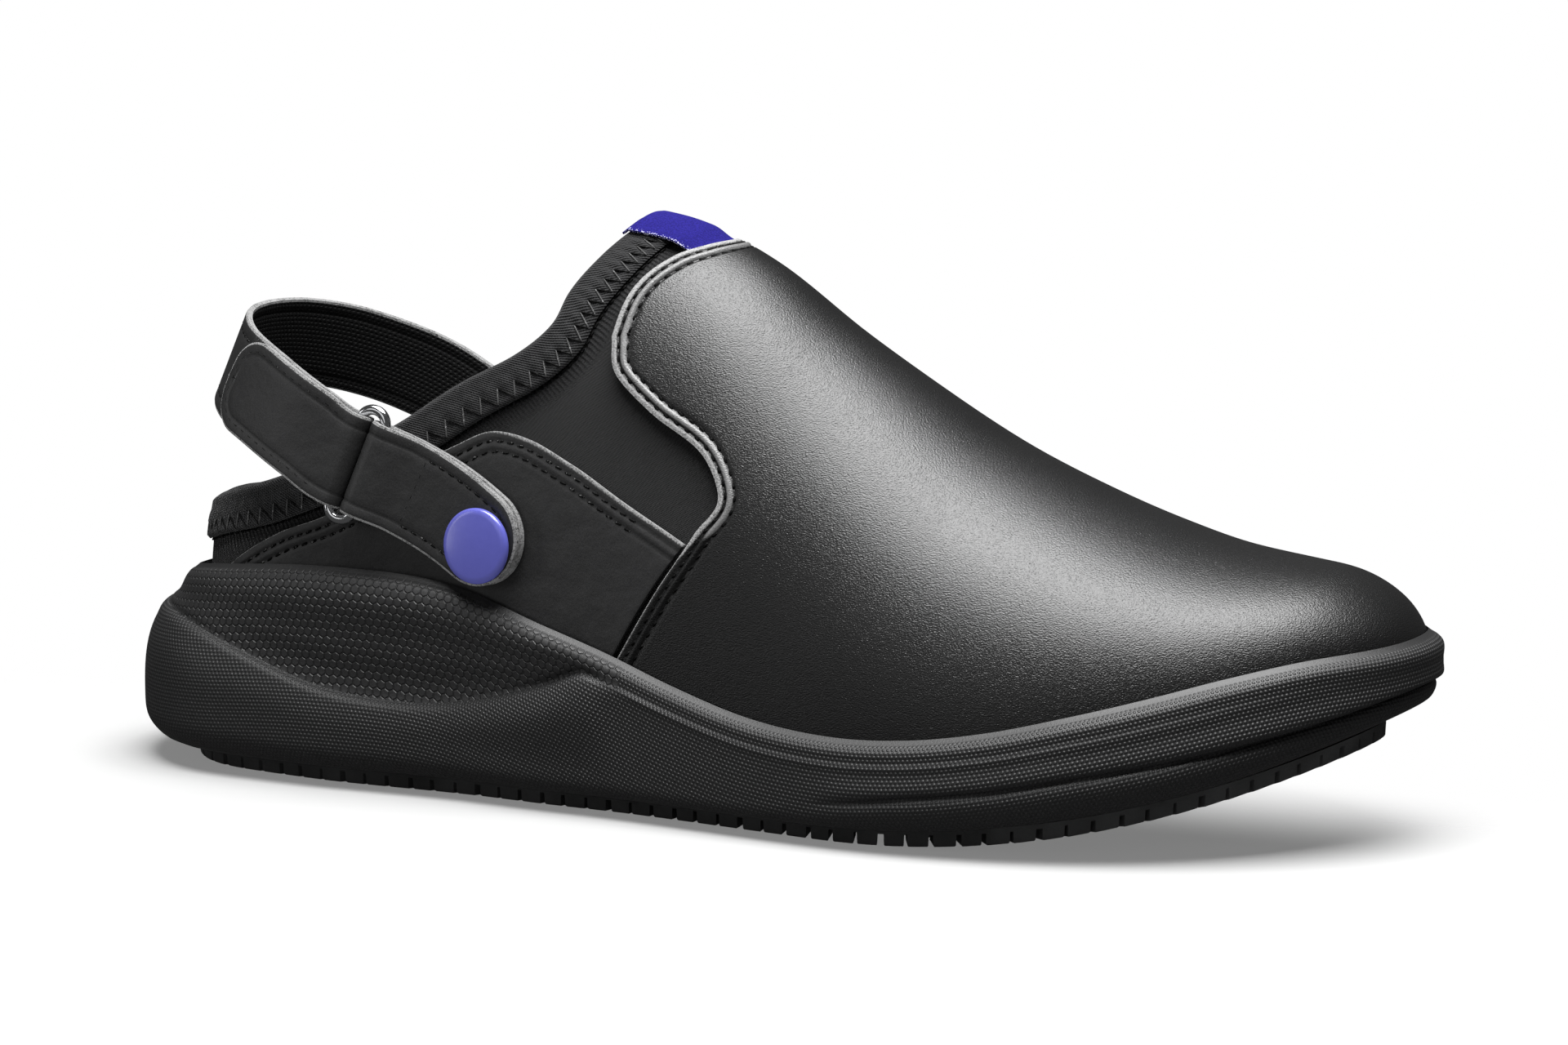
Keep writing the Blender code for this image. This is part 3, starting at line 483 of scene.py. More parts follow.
def mend(thing, weld=None, fill=False, turn=False):
    """Weld points closer than a length, fill the holes and turn the faces outward, each if asked."""
    steps = []
    if weld:
        steps.append(lambda: bpy.ops.mesh.remove_doubles(threshold=weld))
    if fill:
        steps.append(lambda: bpy.ops.mesh.fill_holes(sides=0))
    if turn:
        steps.append(lambda: bpy.ops.mesh.normals_make_consistent(inside=False))
    edit(thing, *steps)


def linked(name, data):
    """A new object in the scene."""
    made = bpy.data.objects.new(name, data)
    bpy.context.collection.objects.link(made)
    return made


def free_mesh(name, points, faces):
    """An object of many small loose bodies, from a list of their points."""
    mesh = bpy.data.meshes.new(name)
    mesh.from_pydata(np.vstack(points).tolist(), [], faces)
    made = linked(name, mesh)
    mend(made, turn=True)
    return made


def surface(name, points, outward, cloth=None, closed=False):
    """A grid primitive laid over a grid of points, its faces turned to the outward direction."""
    rows, columns = points.shape[:2]
    bpy.ops.object.select_all(action="DESELECT")
    bpy.ops.mesh.primitive_grid_add(x_subdivisions=columns - 1, y_subdivisions=rows - 1, size=1.0,
                                    calc_uvs=True, location=(0, 0, 0))
    made = bpy.context.object
    made.name = name
    made.data.name = name
    mesh = made.data
    if len(mesh.vertices) != rows * columns:
        raise RuntimeError(f"{name}: the grid has {len(mesh.vertices)} points, not {rows * columns}")
    places = np.empty(rows * columns * 3)
    mesh.vertices.foreach_get("co", places)
    places = places.reshape(-1, 3)
    column = np.rint((places[:, 0] + 0.5) * (columns - 1)).astype(int)
    row = np.rint((places[:, 1] + 0.5) * (rows - 1)).astype(int)
    mesh.vertices.foreach_set("co", points[row, column].ravel())
    cloth = grid_lengths(points) if cloth is None else cloth
    corners = np.empty(len(mesh.loops), int)
    mesh.loops.foreach_get("vertex_index", corners)
    mesh.uv_layers[0].data.foreach_set("uv", cloth[row, column][corners].ravel())
    mesh.uv_layers[0].name = "cloth"
    mid_row, mid_column = rows // 2, columns // 2
    across = points[mid_row, mid_column + 1] - points[mid_row, mid_column - 1]
    upward = points[mid_row + 1, mid_column] - points[mid_row - 1, mid_column]
    if np.dot(np.cross(across, upward), outward[mid_row, mid_column]) < 0:
        mesh.flip_normals()
    mesh.update()
    if closed:
        mend(made, 1e-6)
    return made


def point_values(thing, name, values):
    """A named number on each point, for the shader."""
    layer = thing.data.attributes.new(name, "FLOAT", "POINT")
    layer.data.foreach_set("value", np.asarray(values, float).ravel())


def smooth(thing, angle=40.0):
    only(thing)
    bpy.ops.object.shade_smooth_by_angle(angle=math.radians(angle))


def dress(thing, *finishes):
    thing.data.materials.clear()
    for finish in finishes:
        thing.data.materials.append(finish)


def settle(thing, slot, *nodes):
    """Tie a finished piece to the frame."""
    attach(thing, "root")
    if nodes:
        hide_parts(*nodes)


def leather_wall(thing, wall, edge_round):
    """Give a sheet its thickness inward, with a soft cut edge in the second slot."""
    apply_modifier(thing, "SOLIDIFY", thickness=wall, offset=-1.0, use_even_offset=False, use_rim=True,
                   material_offset_rim=1, material_offset=2)
    apply_modifier(thing, "BEVEL", width=edge_round, segments=2, limit_method="ANGLE",
                   angle_limit=math.radians(50.0), material=-1, use_clamp_overlap=True)


def stitch_row(name, centres, normals, tangents, length, thickness, finish, slot):
    """One object with a row of thread stitches, each a small rounded bar."""
    bpy.ops.object.select_all(action="DESELECT")
    bpy.ops.mesh.primitive_uv_sphere_add(segments=6, ring_count=5, radius=0.5, location=(0, 0, 0))
    seed = bpy.context.object
    count = len(seed.data.vertices)
    shape = np.empty(count * 3)
    seed.data.vertices.foreach_get("co", shape)
    shape = shape.reshape(-1, 3)[:, [2, 0, 1]]
    shape[:, 0] = np.sign(shape[:, 0]) * (np.abs(shape[:, 0]) * 2) ** 0.6 / 2
    faces = [tuple(face.vertices) for face in seed.data.polygons]
    bpy.data.objects.remove(seed)
    tangents = unit(tangents)
    sides = unit(np.cross(normals, tangents))
    points = []
    loops = []
    lengths = np.broadcast_to(length, len(centres))
    for k, centre in enumerate(centres):
        local = shape * [lengths[k], thickness, thickness]
        place = centre + local[:, :1] * tangents[k] + local[:, 1:2] * sides[k]
        points.append(place + local[:, 2:] * normals[k])
        loops += [tuple(k * count + corner for corner in face) for face in faces]
    made = free_mesh(name, points, loops)
    smooth(made, 60.0)
    dress(made, finish)
    settle(made, slot)


def stitches_beside(path, offset, pitch, slant=0.0):
    """Places, normals and slanted directions of stitches along a path on the last."""
    points = off_last(path, offset)
    normals = last_normal(path)
    rows = spaced(points, pitch, np.hstack([normals, np.gradient(points, axis=0)]))
    normals = unit(rows[:, 3:6])
    ahead = unit(rows[:, 6:9])
    beside = np.cross(normals, ahead)
    return rows[:, :3], normals, math.cos(slant) * ahead + math.sin(slant) * beside


def sewn_rows(name, edge, rows, lift, under_rim, pitch, slant, size, thread, slot):
    """Rows of stitches beside an edge on the last, down to a little under the sole's rim."""
    for number, row in enumerate(rows, 1):
        path = inset_path(edge, row)
        path = path[on_last(path)[:, 2] > rim_height((1 + path[:, 0]) / 2) - under_rim]
        stitch_row(f"{name}_{number}", *stitches_beside(path, lift, pitch, slant), *size, thread, slot)


# Shader maths

def tinted(colour, share):
    """A colour made darker or lighter."""
    return [share * c for c in colour]


class Wire:
    """A number in a material's nodes, with the usual operators."""

    def __init__(self, finish, socket):
        self.finish = finish
        self.socket = socket

    def maths(self, operation, *others):
        values = dict(enumerate((self, *others)))
        node = self.finish.node("ShaderNodeMath", {"operation": operation}, values)
        return Wire(self.finish, node.outputs[0])

    def __add__(self, other):
        return self.maths("ADD", other)

    def __mul__(self, other):
        return self.maths("MULTIPLY", other)

    def __sub__(self, other):
        return self.maths("SUBTRACT", other)

    def __rsub__(self, other):
        node = self.finish.node("ShaderNodeMath", {"operation": "SUBTRACT"}, {0: other, 1: self})
        return Wire(self.finish, node.outputs[0])

    def __truediv__(self, other):
        return self.maths("DIVIDE", other)

    __radd__ = __add__
    __rmul__ = __mul__

    def ramp(self, low, high):
        """0 below low, 1 above high, smooth between."""
        node = self.finish.node("ShaderNodeMapRange", {"interpolation_type": "SMOOTHSTEP"},
                                {"Value": self, "From Min": low, "From Max": high})
        return Wire(self.finish, node.outputs[0])


class Finish:
    """A material with its nodes, made piece by piece."""

    def __init__(self, name, colour, roughness, specular=0.5, **settings):
        self.material = bpy.data.materials.new(name)
        self.material.use_nodes = True
        self.tree = self.material.node_tree
        self.shader = self.tree.nodes["Principled BSDF"]
        self.put(self.shader, {"Base Color": (*colour, 1.0), "Roughness": roughness,
                               "Specular IOR Level": specular, **settings})

    def put(self, node, values):
        for name, value in values.items():
            socket = node.inputs[name]
            if isinstance(value, Wire):
                self.tree.links.new(value.socket, socket)
            elif isinstance(value, bpy.types.NodeSocket):
                self.tree.links.new(value, socket)
            else:
                socket.default_value = value

    def node(self, kind, settings=None, values=None):
        made = self.tree.nodes.new(kind)
        for name, value in (settings or {}).items():
            setattr(made, name, value)
        self.put(made, values or {})
        return made

    def place(self):
        """Object coordinates, in metres."""
        return self.node("ShaderNodeTexCoord").outputs["Object"]

    def cloth(self):
        """Metres along and up the piece."""
        uv = self.node("ShaderNodeUVMap", {"uv_map": "cloth"})
        parts = self.node("ShaderNodeSeparateXYZ", None, {0: uv.outputs[0]})
        return Wire(self, parts.outputs[0]), Wire(self, parts.outputs[1])

    def value_of(self, name):
        node = self.node("ShaderNodeAttribute", {"attribute_name": name})
        return Wire(self, node.outputs["Fac"])

    def vector(self, x, y, z=0.0):
        return self.node("ShaderNodeCombineXYZ", None, {0: x, 1: y, 2: z}).outputs[0]

    def noise(self, scale, detail=2.0, rough=0.5, where=None):
        node = self.node("ShaderNodeTexNoise", None, {
            "Vector": self.place() if where is None else where, "Scale": scale, "Detail": detail,
            "Roughness": rough})
        return Wire(self, node.outputs[0])

    def cells(self, scale, feature="F1", where=None, randomness=1.0):
        node = self.node("ShaderNodeTexVoronoi", {"feature": feature}, {
            "Vector": self.place() if where is None else where, "Scale": scale, "Randomness": randomness})
        return Wire(self, node.outputs["Distance"])

    def bump(self, height, depth, normal=None, strength=1.0):
        """A bump of a depth in metres; returns its normal."""
        values = {"Height": height, "Distance": depth, "Strength": strength}
        if normal is not None:
            values["Normal"] = normal
        return self.node("ShaderNodeBump", None, values).outputs[0]

    def blend(self, share, low, high):
        """A colour between two colours."""
        node = self.node("ShaderNodeMix", {"data_type": "RGBA"})
        self.put_mix(node, share, low, high)
        return node.outputs[2]

    def put_mix(self, node, share, low, high):
        for index, value in ((0, share), (6, low), (7, high)):
            socket = node.inputs[index]
            if isinstance(value, Wire):
                self.tree.links.new(value.socket, socket)
            elif isinstance(value, bpy.types.NodeSocket):
                self.tree.links.new(value, socket)
            elif index == 0:
                socket.default_value = value
            else:
                socket.default_value = (*value, 1.0)

    def use(self, **values):
        names = {"colour": "Base Color", "roughness": "Roughness", "normal": "Normal", "metal": "Metallic"}
        self.put(self.shader, {names[name]: value for name, value in values.items()})
        return self.material


COS_30 = 0.8660254


def hex_offsets(along, up, pitch):
    """Offset of a point from the middle of its cell in a honeycomb."""
    tall = pitch * math.sqrt(3.0)
    ax = (along / pitch).maths("FRACT") - 0.5
    ay = (up / tall).maths("FRACT") - 0.5
    bx = (along / pitch + 0.5).maths("FRACT") - 0.5
    by = (up / tall + 0.5).maths("FRACT") - 0.5
    root = math.sqrt(3.0)
    a_far = ax * ax + (ay * root) * (ay * root)
    b_far = bx * bx + (by * root) * (by * root)
    pick = a_far.maths("LESS_THAN", b_far)
    x = bx + (ax - bx) * pick
    y = (by + (ay - by) * pick) * root
    return x.maths("ABSOLUTE"), y.maths("ABSOLUTE")


def cut_fibres(f, mask):
    """How much of the skin shows the grey fibres of a cut edge."""
    tufts = f.noise(2600.0, 3.0, 0.7)
    return ((tufts * 1.5 - 0.25) * mask).ramp(0.12, 0.62)


def vamp_finish(colours):
    """Finely pebbled leather with a satin top, grey fibres at its cut edge and a painted highlight on the
    swell between its rows of stitches.
    """
    f = Finish("vamp_leather", colours.leather, 0.40, 0.55)
    where = f.node("ShaderNodeVectorMath", {"operation": "MULTIPLY"},
                   {0: f.place(), 1: (0.85, 1.0, 1.5)}).outputs[0]
    bend = f.noise(900.0, 1.0)
    pushed = f.node("ShaderNodeVectorMath", {"operation": "ADD"},
                    {0: where, 1: f.vector(bend * 0.0003, bend * -0.0002, bend * 0.0002)}).outputs[0]
    pebbles = 1 - f.cells(2500.0, "SMOOTH_F1", pushed)
    grain = f.noise(3100.0, 1.0, 0.5, where)
    broad = f.noise(40.0, 2.0)
    fibres = cut_fibres(f, f.value_of("cut_band"))
    # Painted highlight: where the vamp faces up, the swell between its rows of stitches is painted pale
    # grey.
    swell_highlight = f.value_of("swell_highlight").ramp(0.25, 0.70) * grain.ramp(0.1, 0.5)
    normal = f.bump(pebbles * 0.5 + grain * 0.85, 0.000115)
    skin = f.blend(grain.ramp(0.3, 0.75), tinted(colours.leather, 0.7),
                   tinted(colours.leather, 1.5))
    skin = f.blend(swell_highlight, skin, tinted(colours.raw_edge, 0.55))
    return f.use(colour=f.blend(fibres, skin, colours.raw_edge), normal=normal,
                 roughness=0.33 + 0.05 * grain + 0.04 * broad + 0.45 * fibres)


def smooth_leather_finish(colours):
    """Smooth coated leather with a faint grain and grey fibres at its cut edge."""
    f = Finish("strap_leather", colours.strap, 0.46, 0.36)
    cells = f.cells(2100.0, "SMOOTH_F1")
    fine = f.noise(5200.0, 2.0)
    slow = f.noise(150.0, 3.0)
    fibres = cut_fibres(f, f.value_of("cut_band"))
    normal = f.bump(slow, 0.0004, f.bump((1 - cells) * 0.5 + fine * 0.3, 0.00005))
    skin = f.blend(fine.ramp(0.3, 0.75), tinted(colours.strap, 0.75), tinted(colours.strap, 1.35))
    return f.use(colour=f.blend(fibres, skin, colours.raw_edge), normal=normal,
                 roughness=0.41 + 0.08 * fine + 0.05 * slow + 0.4 * fibres)


def raw_edge_finish(colours):
    """The cut edge of leather: matted grey fibres."""
    f = Finish("raw_edge", colours.raw_edge, 0.95, 0.2)
    tufts = f.noise(2300.0, 4.0, 0.7)
    patches = f.noise(330.0, 2.0)
    mask = (tufts + 0.35 * patches).ramp(0.44, 0.74)
    colour = f.blend(mask, tinted(colours.raw_edge, 0.10), colours.raw_edge)
    return f.use(colour=colour, normal=f.bump(tufts, 0.0005))


def twill_finish(name, colours, pitch, slant, depth, lift):
    """Woven stretch fabric: slanted ribs cut into short floats."""
    f = Finish(name, colours.fabric, 0.85, 0.35, **{"Sheen Weight": 0.12, "Sheen Roughness": 0.4})
    along, up = f.cloth()
    wander = f.noise(90.0, 2.0) * 0.0006
    rib = (up * math.cos(slant) + along * math.sin(slant) + wander) / pitch
    across = (along * math.cos(slant) - up * math.sin(slant)) / pitch
    ridge = (rib * (2 * math.pi)).maths("COSINE")
    shift = rib.maths("FLOOR") * 0.5
    float_row = ((across * 0.8 + shift) * (2 * math.pi)).maths("COSINE")
    fuzz = f.noise(4200.0, 3.0, 0.6)
    height = ridge * 0.40 + float_row * 0.22 + fuzz * 0.4
    # Painted shade and highlight: the weave's low parts take a dark copy of the fabric colour, its high
    # parts a copy lift times brighter.
    shade = (height * 0.6 + 0.30).ramp(0.1, 0.9)
    low = tinted(colours.fabric, 0.25)
    high = tinted(colours.fabric, lift)
    return f, height, depth, f.blend(shade, low, high)


def shell_finish(colours):
    """The gore's twill, gathered in fine ribs under the collar band, with a painted highlight on the ribs'
    crests.
    """
    f, height, depth, colour = twill_finish("gore_twill", colours, GORE_PITCH, 0.20, 0.00028, 3.0)
    below = f.value_of("below_collar")
    along = f.value_of("along_collar")
    ribs = ((along / 0.0010 + f.noise(260.0, 1.0) * 0.9) * (2 * math.pi)).maths("COSINE")
    fade = (1 - below.ramp(0.0095, 0.0140)) * below.ramp(0.004, 0.0080)
    gathered = f.bump(ribs * 0.5 * fade, 0.00100, f.bump(height, depth))
    lit = f.blend((ribs * 0.5 + 0.5) * fade, colour, tinted(colours.fabric, 4.0))
    return f.use(colour=lit, normal=gathered, roughness=0.85)


def band_finish(colours):
    """Jersey of the collar band, dimpled where it is sewn."""
    f, height, depth, colour = twill_finish("collar_jersey", colours, BAND_PITCH, 0.9, 0.00022, 6.5)
    lumps = f.noise(520.0, 2.0)
    return f.use(colour=colour, normal=f.bump(lumps, 0.0005, f.bump(height, depth)), roughness=0.9)


def lining_finish(colours):
    """Knitted mesh lining."""
    f, height, depth, colour = twill_finish("mesh_lining", colours, LINING_PITCH, 0.0, 0.00020, 2.2)
    return f.use(colour=colour, normal=f.bump(height, depth), roughness=0.92)


def strap_lining_finish(colours):
    """Spacer mesh on the strap's inside: rows of small ovals."""
    f = Finish("strap_mesh", colours.fabric, 0.75, 0.4)
    along, up = f.cloth()
    x, y = hex_offsets(along, up, MESH_PITCH)
    far = (x * x + (y * y) * 1.6).maths("SQRT")
    hole = 1 - far.ramp(0.12, 0.42)
    yarn = f.noise(3800.0, 2.0)
    height = (1 - hole) * 0.8 + yarn * 0.3
    low = tinted(colours.fabric, 0.2)
    high = tinted(colours.fabric, 1.5)
    return f.use(colour=f.blend(1 - hole, low, high), normal=f.bump(height, 0.00045),
                 roughness=0.70 + 0.15 * yarn)


def hook_finish(colours):
    """Hook-and-loop pile between the strap's layers."""
    f = Finish("hook_pile", colours.fabric, 0.8)
    pile = f.noise(2600.0, 3.0, 0.75)
    spark = pile.ramp(0.56, 0.72)
    colour = f.blend(spark, (0.006, 0.006, 0.006), (0.16, 0.16, 0.16))
    return f.use(colour=colour, normal=f.bump(pile, 0.0007))


def foam_finish(colours):
    """Moulded foam skin: fine dots all over, a honeycomb on the heel panel, with painted highlight on
    their raised parts and painted shade between them.
    """
    f = Finish("midsole_foam", colours.foam, 0.50, 0.50)
    along, down = f.cloth()
    panel = f.value_of("panel").ramp(0.4, 0.6)
    x, y = hex_offsets(along, down, DOT_PITCH)
    far = (x * x + y * y).maths("SQRT")
    dots = 1 - far.ramp(0.14, 0.42)
    hx, hy = hex_offsets(along, down, COMB_PITCH)
    reach = hx.maths("MAXIMUM", hx * 0.5 + hy * COS_30)
    comb = 1 - reach.ramp(0.36, 0.49)
    fine = f.noise(2600.0, 3.0)
    slow = f.noise(60.0, 3.0)
    height = (dots + (comb * 1.2 - dots) * panel) * down.ramp(0.0010, 0.0026)
    normal = f.bump(fine, 0.00005, f.bump(height, 0.00018))
    # Painted highlight and shade: raised dots and cells lighter, the skin between them darker.
    dark = tinted(colours.foam, 0.6)
    light = tinted(colours.foam, 1.1)
    return f.use(colour=f.blend(height * 0.6 + 0.3 * fine, dark, light),
                 roughness=0.43 + 0.08 * fine + 0.05 * slow, normal=normal)


def tread_finish(colours):
    """Matte grey tread rubber."""
    f = Finish("tread_rubber", colours.tread, 0.72, 0.4)
    fine = f.noise(1800.0, 4.0)
    slow = f.noise(70.0, 3.0)
    low = tinted(colours.tread, 0.7)
    high = tinted(colours.tread, 1.25)
    return f.use(colour=f.blend(slow.ramp(0.3, 0.7), low, high), roughness=0.64 + 0.16 * fine,
                 normal=f.bump(fine, 0.00008))


def chrome_finish():
    """Polished wire with faint wear."""
    f = Finish("ring_chrome", (0.82, 0.83, 0.85), 0.10, **{"Metallic": 1.0})
    wear = f.noise(900.0, 3.0)
    return f.use(roughness=0.07 + 0.10 * wear, normal=f.bump(wear, 0.00002))


def button_finish(colours):
    """Glossy enamelled blue."""
    f = Finish("button_blue", colours.button, 0.26, **{"Coat Weight": 0.35, "Coat Roughness": 0.12})
    orange_peel = f.noise(700.0, 2.0)
    light = [min(1.0, 1.10 * c) for c in colours.button]
    return f.use(colour=f.blend(orange_peel, colours.button, light), roughness=0.20 + 0.10 * orange_peel,
                 normal=f.bump(orange_peel, 0.00002))


def label_finish(colours):
    """Woven satin ribbon: fine ribs, with pale flecks at the selvedge."""
    f = Finish("label_ribbon", colours.label, 0.9, 0.08)
    along, up = f.cloth()
    weft = (up * (2 * math.pi / 0.00032)).maths("COSINE")
    warp = (along * (2 * math.pi / 0.00045)).maths("COSINE")
    fleck = f.noise(2600.0, 2.0)
    edge = f.value_of("selvedge")
    pale = (fleck + edge * 0.26).ramp(0.76, 0.86)
    body = f.blend(fleck.ramp(0.3, 0.7), tinted(colours.label, 0.75), tinted(colours.label, 1.25))
    return f.use(colour=f.blend(pale, body, (0.55, 0.55, 0.72)),
                 normal=f.bump(weft * 0.3 + warp * 0.2 + fleck * 0.4, 0.00008))


def thread_finish(name, colour, fleck):
    """Twisted sewing thread with painted glints: paler flecks here and there."""
    f = Finish(name, colour, 0.7, 0.12)
    twist = f.noise(3300.0, 2.0)
    # Painted glints: flecks of the paler colour on the thread.
    pale = f.noise(1700.0, 3.0, 0.7).ramp(0.56, 0.70)
    return f.use(colour=f.blend(pale, tinted(colour, 0.8), fleck), normal=f.bump(twist, 0.00015))


# Pieces

def sole_profile(station):
    """Outward and height of the foam sole's section rows, from the tread up and into the bed."""
    bulge = TOE_FLARE + (HEEL_FLARE - TOE_FLARE) * section("flare", station)
    shoulder = RIM_OUTER + (bulge - RIM_OUTER) * SHOULDER_SHARE
    rim = rim_height(station)
    creased = CREASE_DEPTH * (1 - ease(0.37, 0.44, station))
    grooved = ease(SPRING_START, SPRING_START + 0.07, station)
    low = BAND_INSET * ease(0.84, 0.99, station)
    groove = GROOVE_HEIGHT * section("groove", station)
    crease = HEEL_SEAT * section("crease", station)
    foot = spring(station) + TREAD_TOP + CLEARANCE
    groove_low = groove - 0.6 * GROOVE_WIDTH
    tread = TREAD_INSET * section("tread", station)
    rim_low = rim - 2.4 * RIM_ROUND
    lean = np.clip(crease + CREASE_HALF_WIDTH, groove, rim_low - 0.0008)
    below = np.minimum(crease - CREASE_HALF_WIDTH, lean - 0.0015)
    return [
        (bulge - tread, foot),
        (bulge - 0.30 * tread - low, foot + 0.12 * (groove_low - foot)),
        (bulge - 0.06 * tread - low, foot + 0.45 * (groove_low - foot)),
        (bulge - low, groove_low),
        (bulge - low - GROOVE_DEPTH * grooved, groove),
        (bulge, groove + 0.5 * GROOVE_WIDTH),
        (shoulder, below),
        (shoulder - creased, lean),
        (0.5 * (shoulder - creased + RIM_OUTER), 0.5 * (lean + rim_low)),
        (RIM_OUTER - 0.04 * RIM_LIP, rim - 1.25 * RIM_ROUND),
        (RIM_OUTER - 0.28 * RIM_LIP, rim - 0.80 * RIM_ROUND),
        (RIM_OUTER - 0.62 * RIM_LIP, rim - 0.46 * RIM_ROUND),
        (RIM_OUTER - 0.86 * RIM_LIP, rim - 0.15 * RIM_ROUND),
        (RIM_INNER + 0.0001, rim),
        (RIM_INNER, 0.5 * (rim + seat_height(station))),
        (RIM_INNER, seat_height(station) - CLEARANCE),
    ]


# Points round the foam sole, steps from row to row of its section, its crease's row and the end
# of the honeycomb panel as a station
SOLE_COLUMNS = 420
SOLE_CUTS = (4, 5, 6, 4, 4, 12, 10, 8, 8, 4, 4, 4, 3, 1, 1)
CREASE_ROW = sum(SOLE_CUTS[:7])
PANEL_END = 0.435


def make_sole(colours):
    """The foam sole: section rows all round the last, with the crease cut along the heel."""
    loop = seat_loop(SOLE_COLUMNS)
    station = (1 + loop[:, 0]) / 2
    knots = np.stack([beside_last(loop, outward, height) for outward, height in sole_profile(station)])
    rows = []
    for column in range(SOLE_COLUMNS):
        line = knots[:, column]
        lengths = run_lengths(line)
        lengths = lengths + np.arange(len(lengths)) * 1e-6
        wanted = [lengths[k] + (lengths[k + 1] - lengths[k]) * np.arange(cuts) / cuts
                  for k, cuts in enumerate(SOLE_CUTS)]
        wanted = np.concatenate(wanted + [[lengths[-1]]])
        rows.append(np.stack([smooth_table(lengths, line[:, k], wanted) for k in range(3)], -1))
    points = wrap(np.stack(rows, 1))
    cloth = grid_lengths(points)
    from_crease = cloth[..., 1] - cloth[CREASE_ROW:CREASE_ROW + 1, :, 1]
    fade = 1 - ease(0.40, 0.455, station_at(points[..., 0]))
    swell = 0.00030 * hump(-0.0024, 0.0016, from_crease)
    sink = 0.0006 * hump(0.0, 0.0008, from_crease)
    points = points + grid_normals(points) * ((swell - sink) * fade)[..., None]
    ring = run_lengths(points[CREASE_ROW])
    cloth[..., 0] = ring
    cloth[..., 1] = cloth[-4:-3, :, 1] - cloth[..., 1]
    outward = unit(points - points.mean(axis=(0, 1)))
    sole = surface("sole_foam", points, outward, cloth)
    row_of = np.arange(points.shape[0])[:, None]
    stations = station_at(points[..., 0])
    panel = (row_of >= CREASE_ROW) * (stations < PANEL_END)
    point_values(sole, "panel", panel)
    mend(sole, 1e-6, fill=True)
    smooth(sole, 50.0)
    dress(sole, foam_finish(colours))
    settle(sole, "midsole_foam", "midsole")


def tread_edge(count, inward):
    """The tread's outline, a distance inward, at equal steps round it."""
    fine = seat_loop(CURVE_POINTS)
    station = (1 + fine[:, 0]) / 2
    bulge = TOE_FLARE + (HEEL_FLARE - TOE_FLARE) * section("flare", station)
    outward = bulge - TREAD_INSET * section("tread", station) - inward
    outline = beside_last(fine, outward, seat_height(station))
    outline = np.vstack([outline, outline[:1]])
    lengths = run_lengths(outline)
    wanted = np.linspace(0.0, lengths[-1], count + 1)[:-1]
    return np.stack([np.interp(wanted, lengths, outline[:, k]) for k in range(2)], -1)


def tread_lug(corners, top, bottom):
    """Points and faces of one tread block: a plan outline pulled in a little towards the floor."""
    corners = np.asarray(corners, float)
    middle = corners.mean(0)
    ground = spring(station_at(corners[:, 0]))
    rings = []
    for share, height in ((0.0, top), (0.04, bottom + 0.0003), (0.12, bottom)):
        plan = corners + (middle - corners) * share
        rings.append(np.column_stack([plan, ground + height]))
    count = len(corners)
    faces = [tuple(range(count))]
    for low in (0, count):
        high = low + count
        for k in range(count):
            after = (k + 1) % count
            faces.append((low + k, low + after, high + after, high + k))
    faces.append(tuple(2 * count + k for k in reversed(range(count))))
    return np.vstack(rings), faces


def at_place(line, place):
    """A point of a closed line at a place counted in points, between two of them if need be."""
    low = int(place) % len(line)
    high = (low + 1) % len(line)
    return line[low] + (line[high] - line[low]) * (place - int(place))


def edge_lugs():
    """Narrow blocks all round the tread's edge, of slightly different lengths."""
    ring = tread_edge(EDGE_LUGS * EDGE_LUG_STEPS, 0.0)
    ring_in = tread_edge(EDGE_LUGS * EDGE_LUG_STEPS, EDGE_LUG_REACH)
    blocks = []
    for k in range(EDGE_LUGS):
        start = k * EDGE_LUG_STEPS + (0.6 if k % 3 == 0 else 0.0)
        stop = k * EDGE_LUG_STEPS + (7.1 if k % 2 == 0 else 6.7)
        spots = [at_place(ring, place) for place in (start, (start + stop) / 2, stop)]
        spots += [at_place(ring_in, place) for place in (stop, start)]
        blocks.append(tread_lug(spots, LUG_HEIGHT + LUG_SINK, 0.0))
    return blocks


def hexagon_lugs():
    """A field of hexagons inside the edge lugs."""
    field = tread_edge(CURVE_POINTS, HEXAGON_INSET)
    turn = np.radians(np.arange(6) * 60.0 + 30.0)
    corners = HEXAGON_RADIUS * np.stack([np.cos(turn), np.sin(turn)], -1)
    blocks = []
    for row in range(-6, 7):
        for column in range(-17, 18):
            x = column * HEXAGON_PITCH + (0.5 * HEXAGON_PITCH if row % 2 else 0.0)
            hexagon = corners + [x, row * HEXAGON_PITCH * HEXAGON_ROW_SHARE]
            if all(inside_outline(corner, field) for corner in hexagon):
                blocks.append(tread_lug(hexagon, LUG_HEIGHT + LUG_SINK, 0.0))
    return blocks


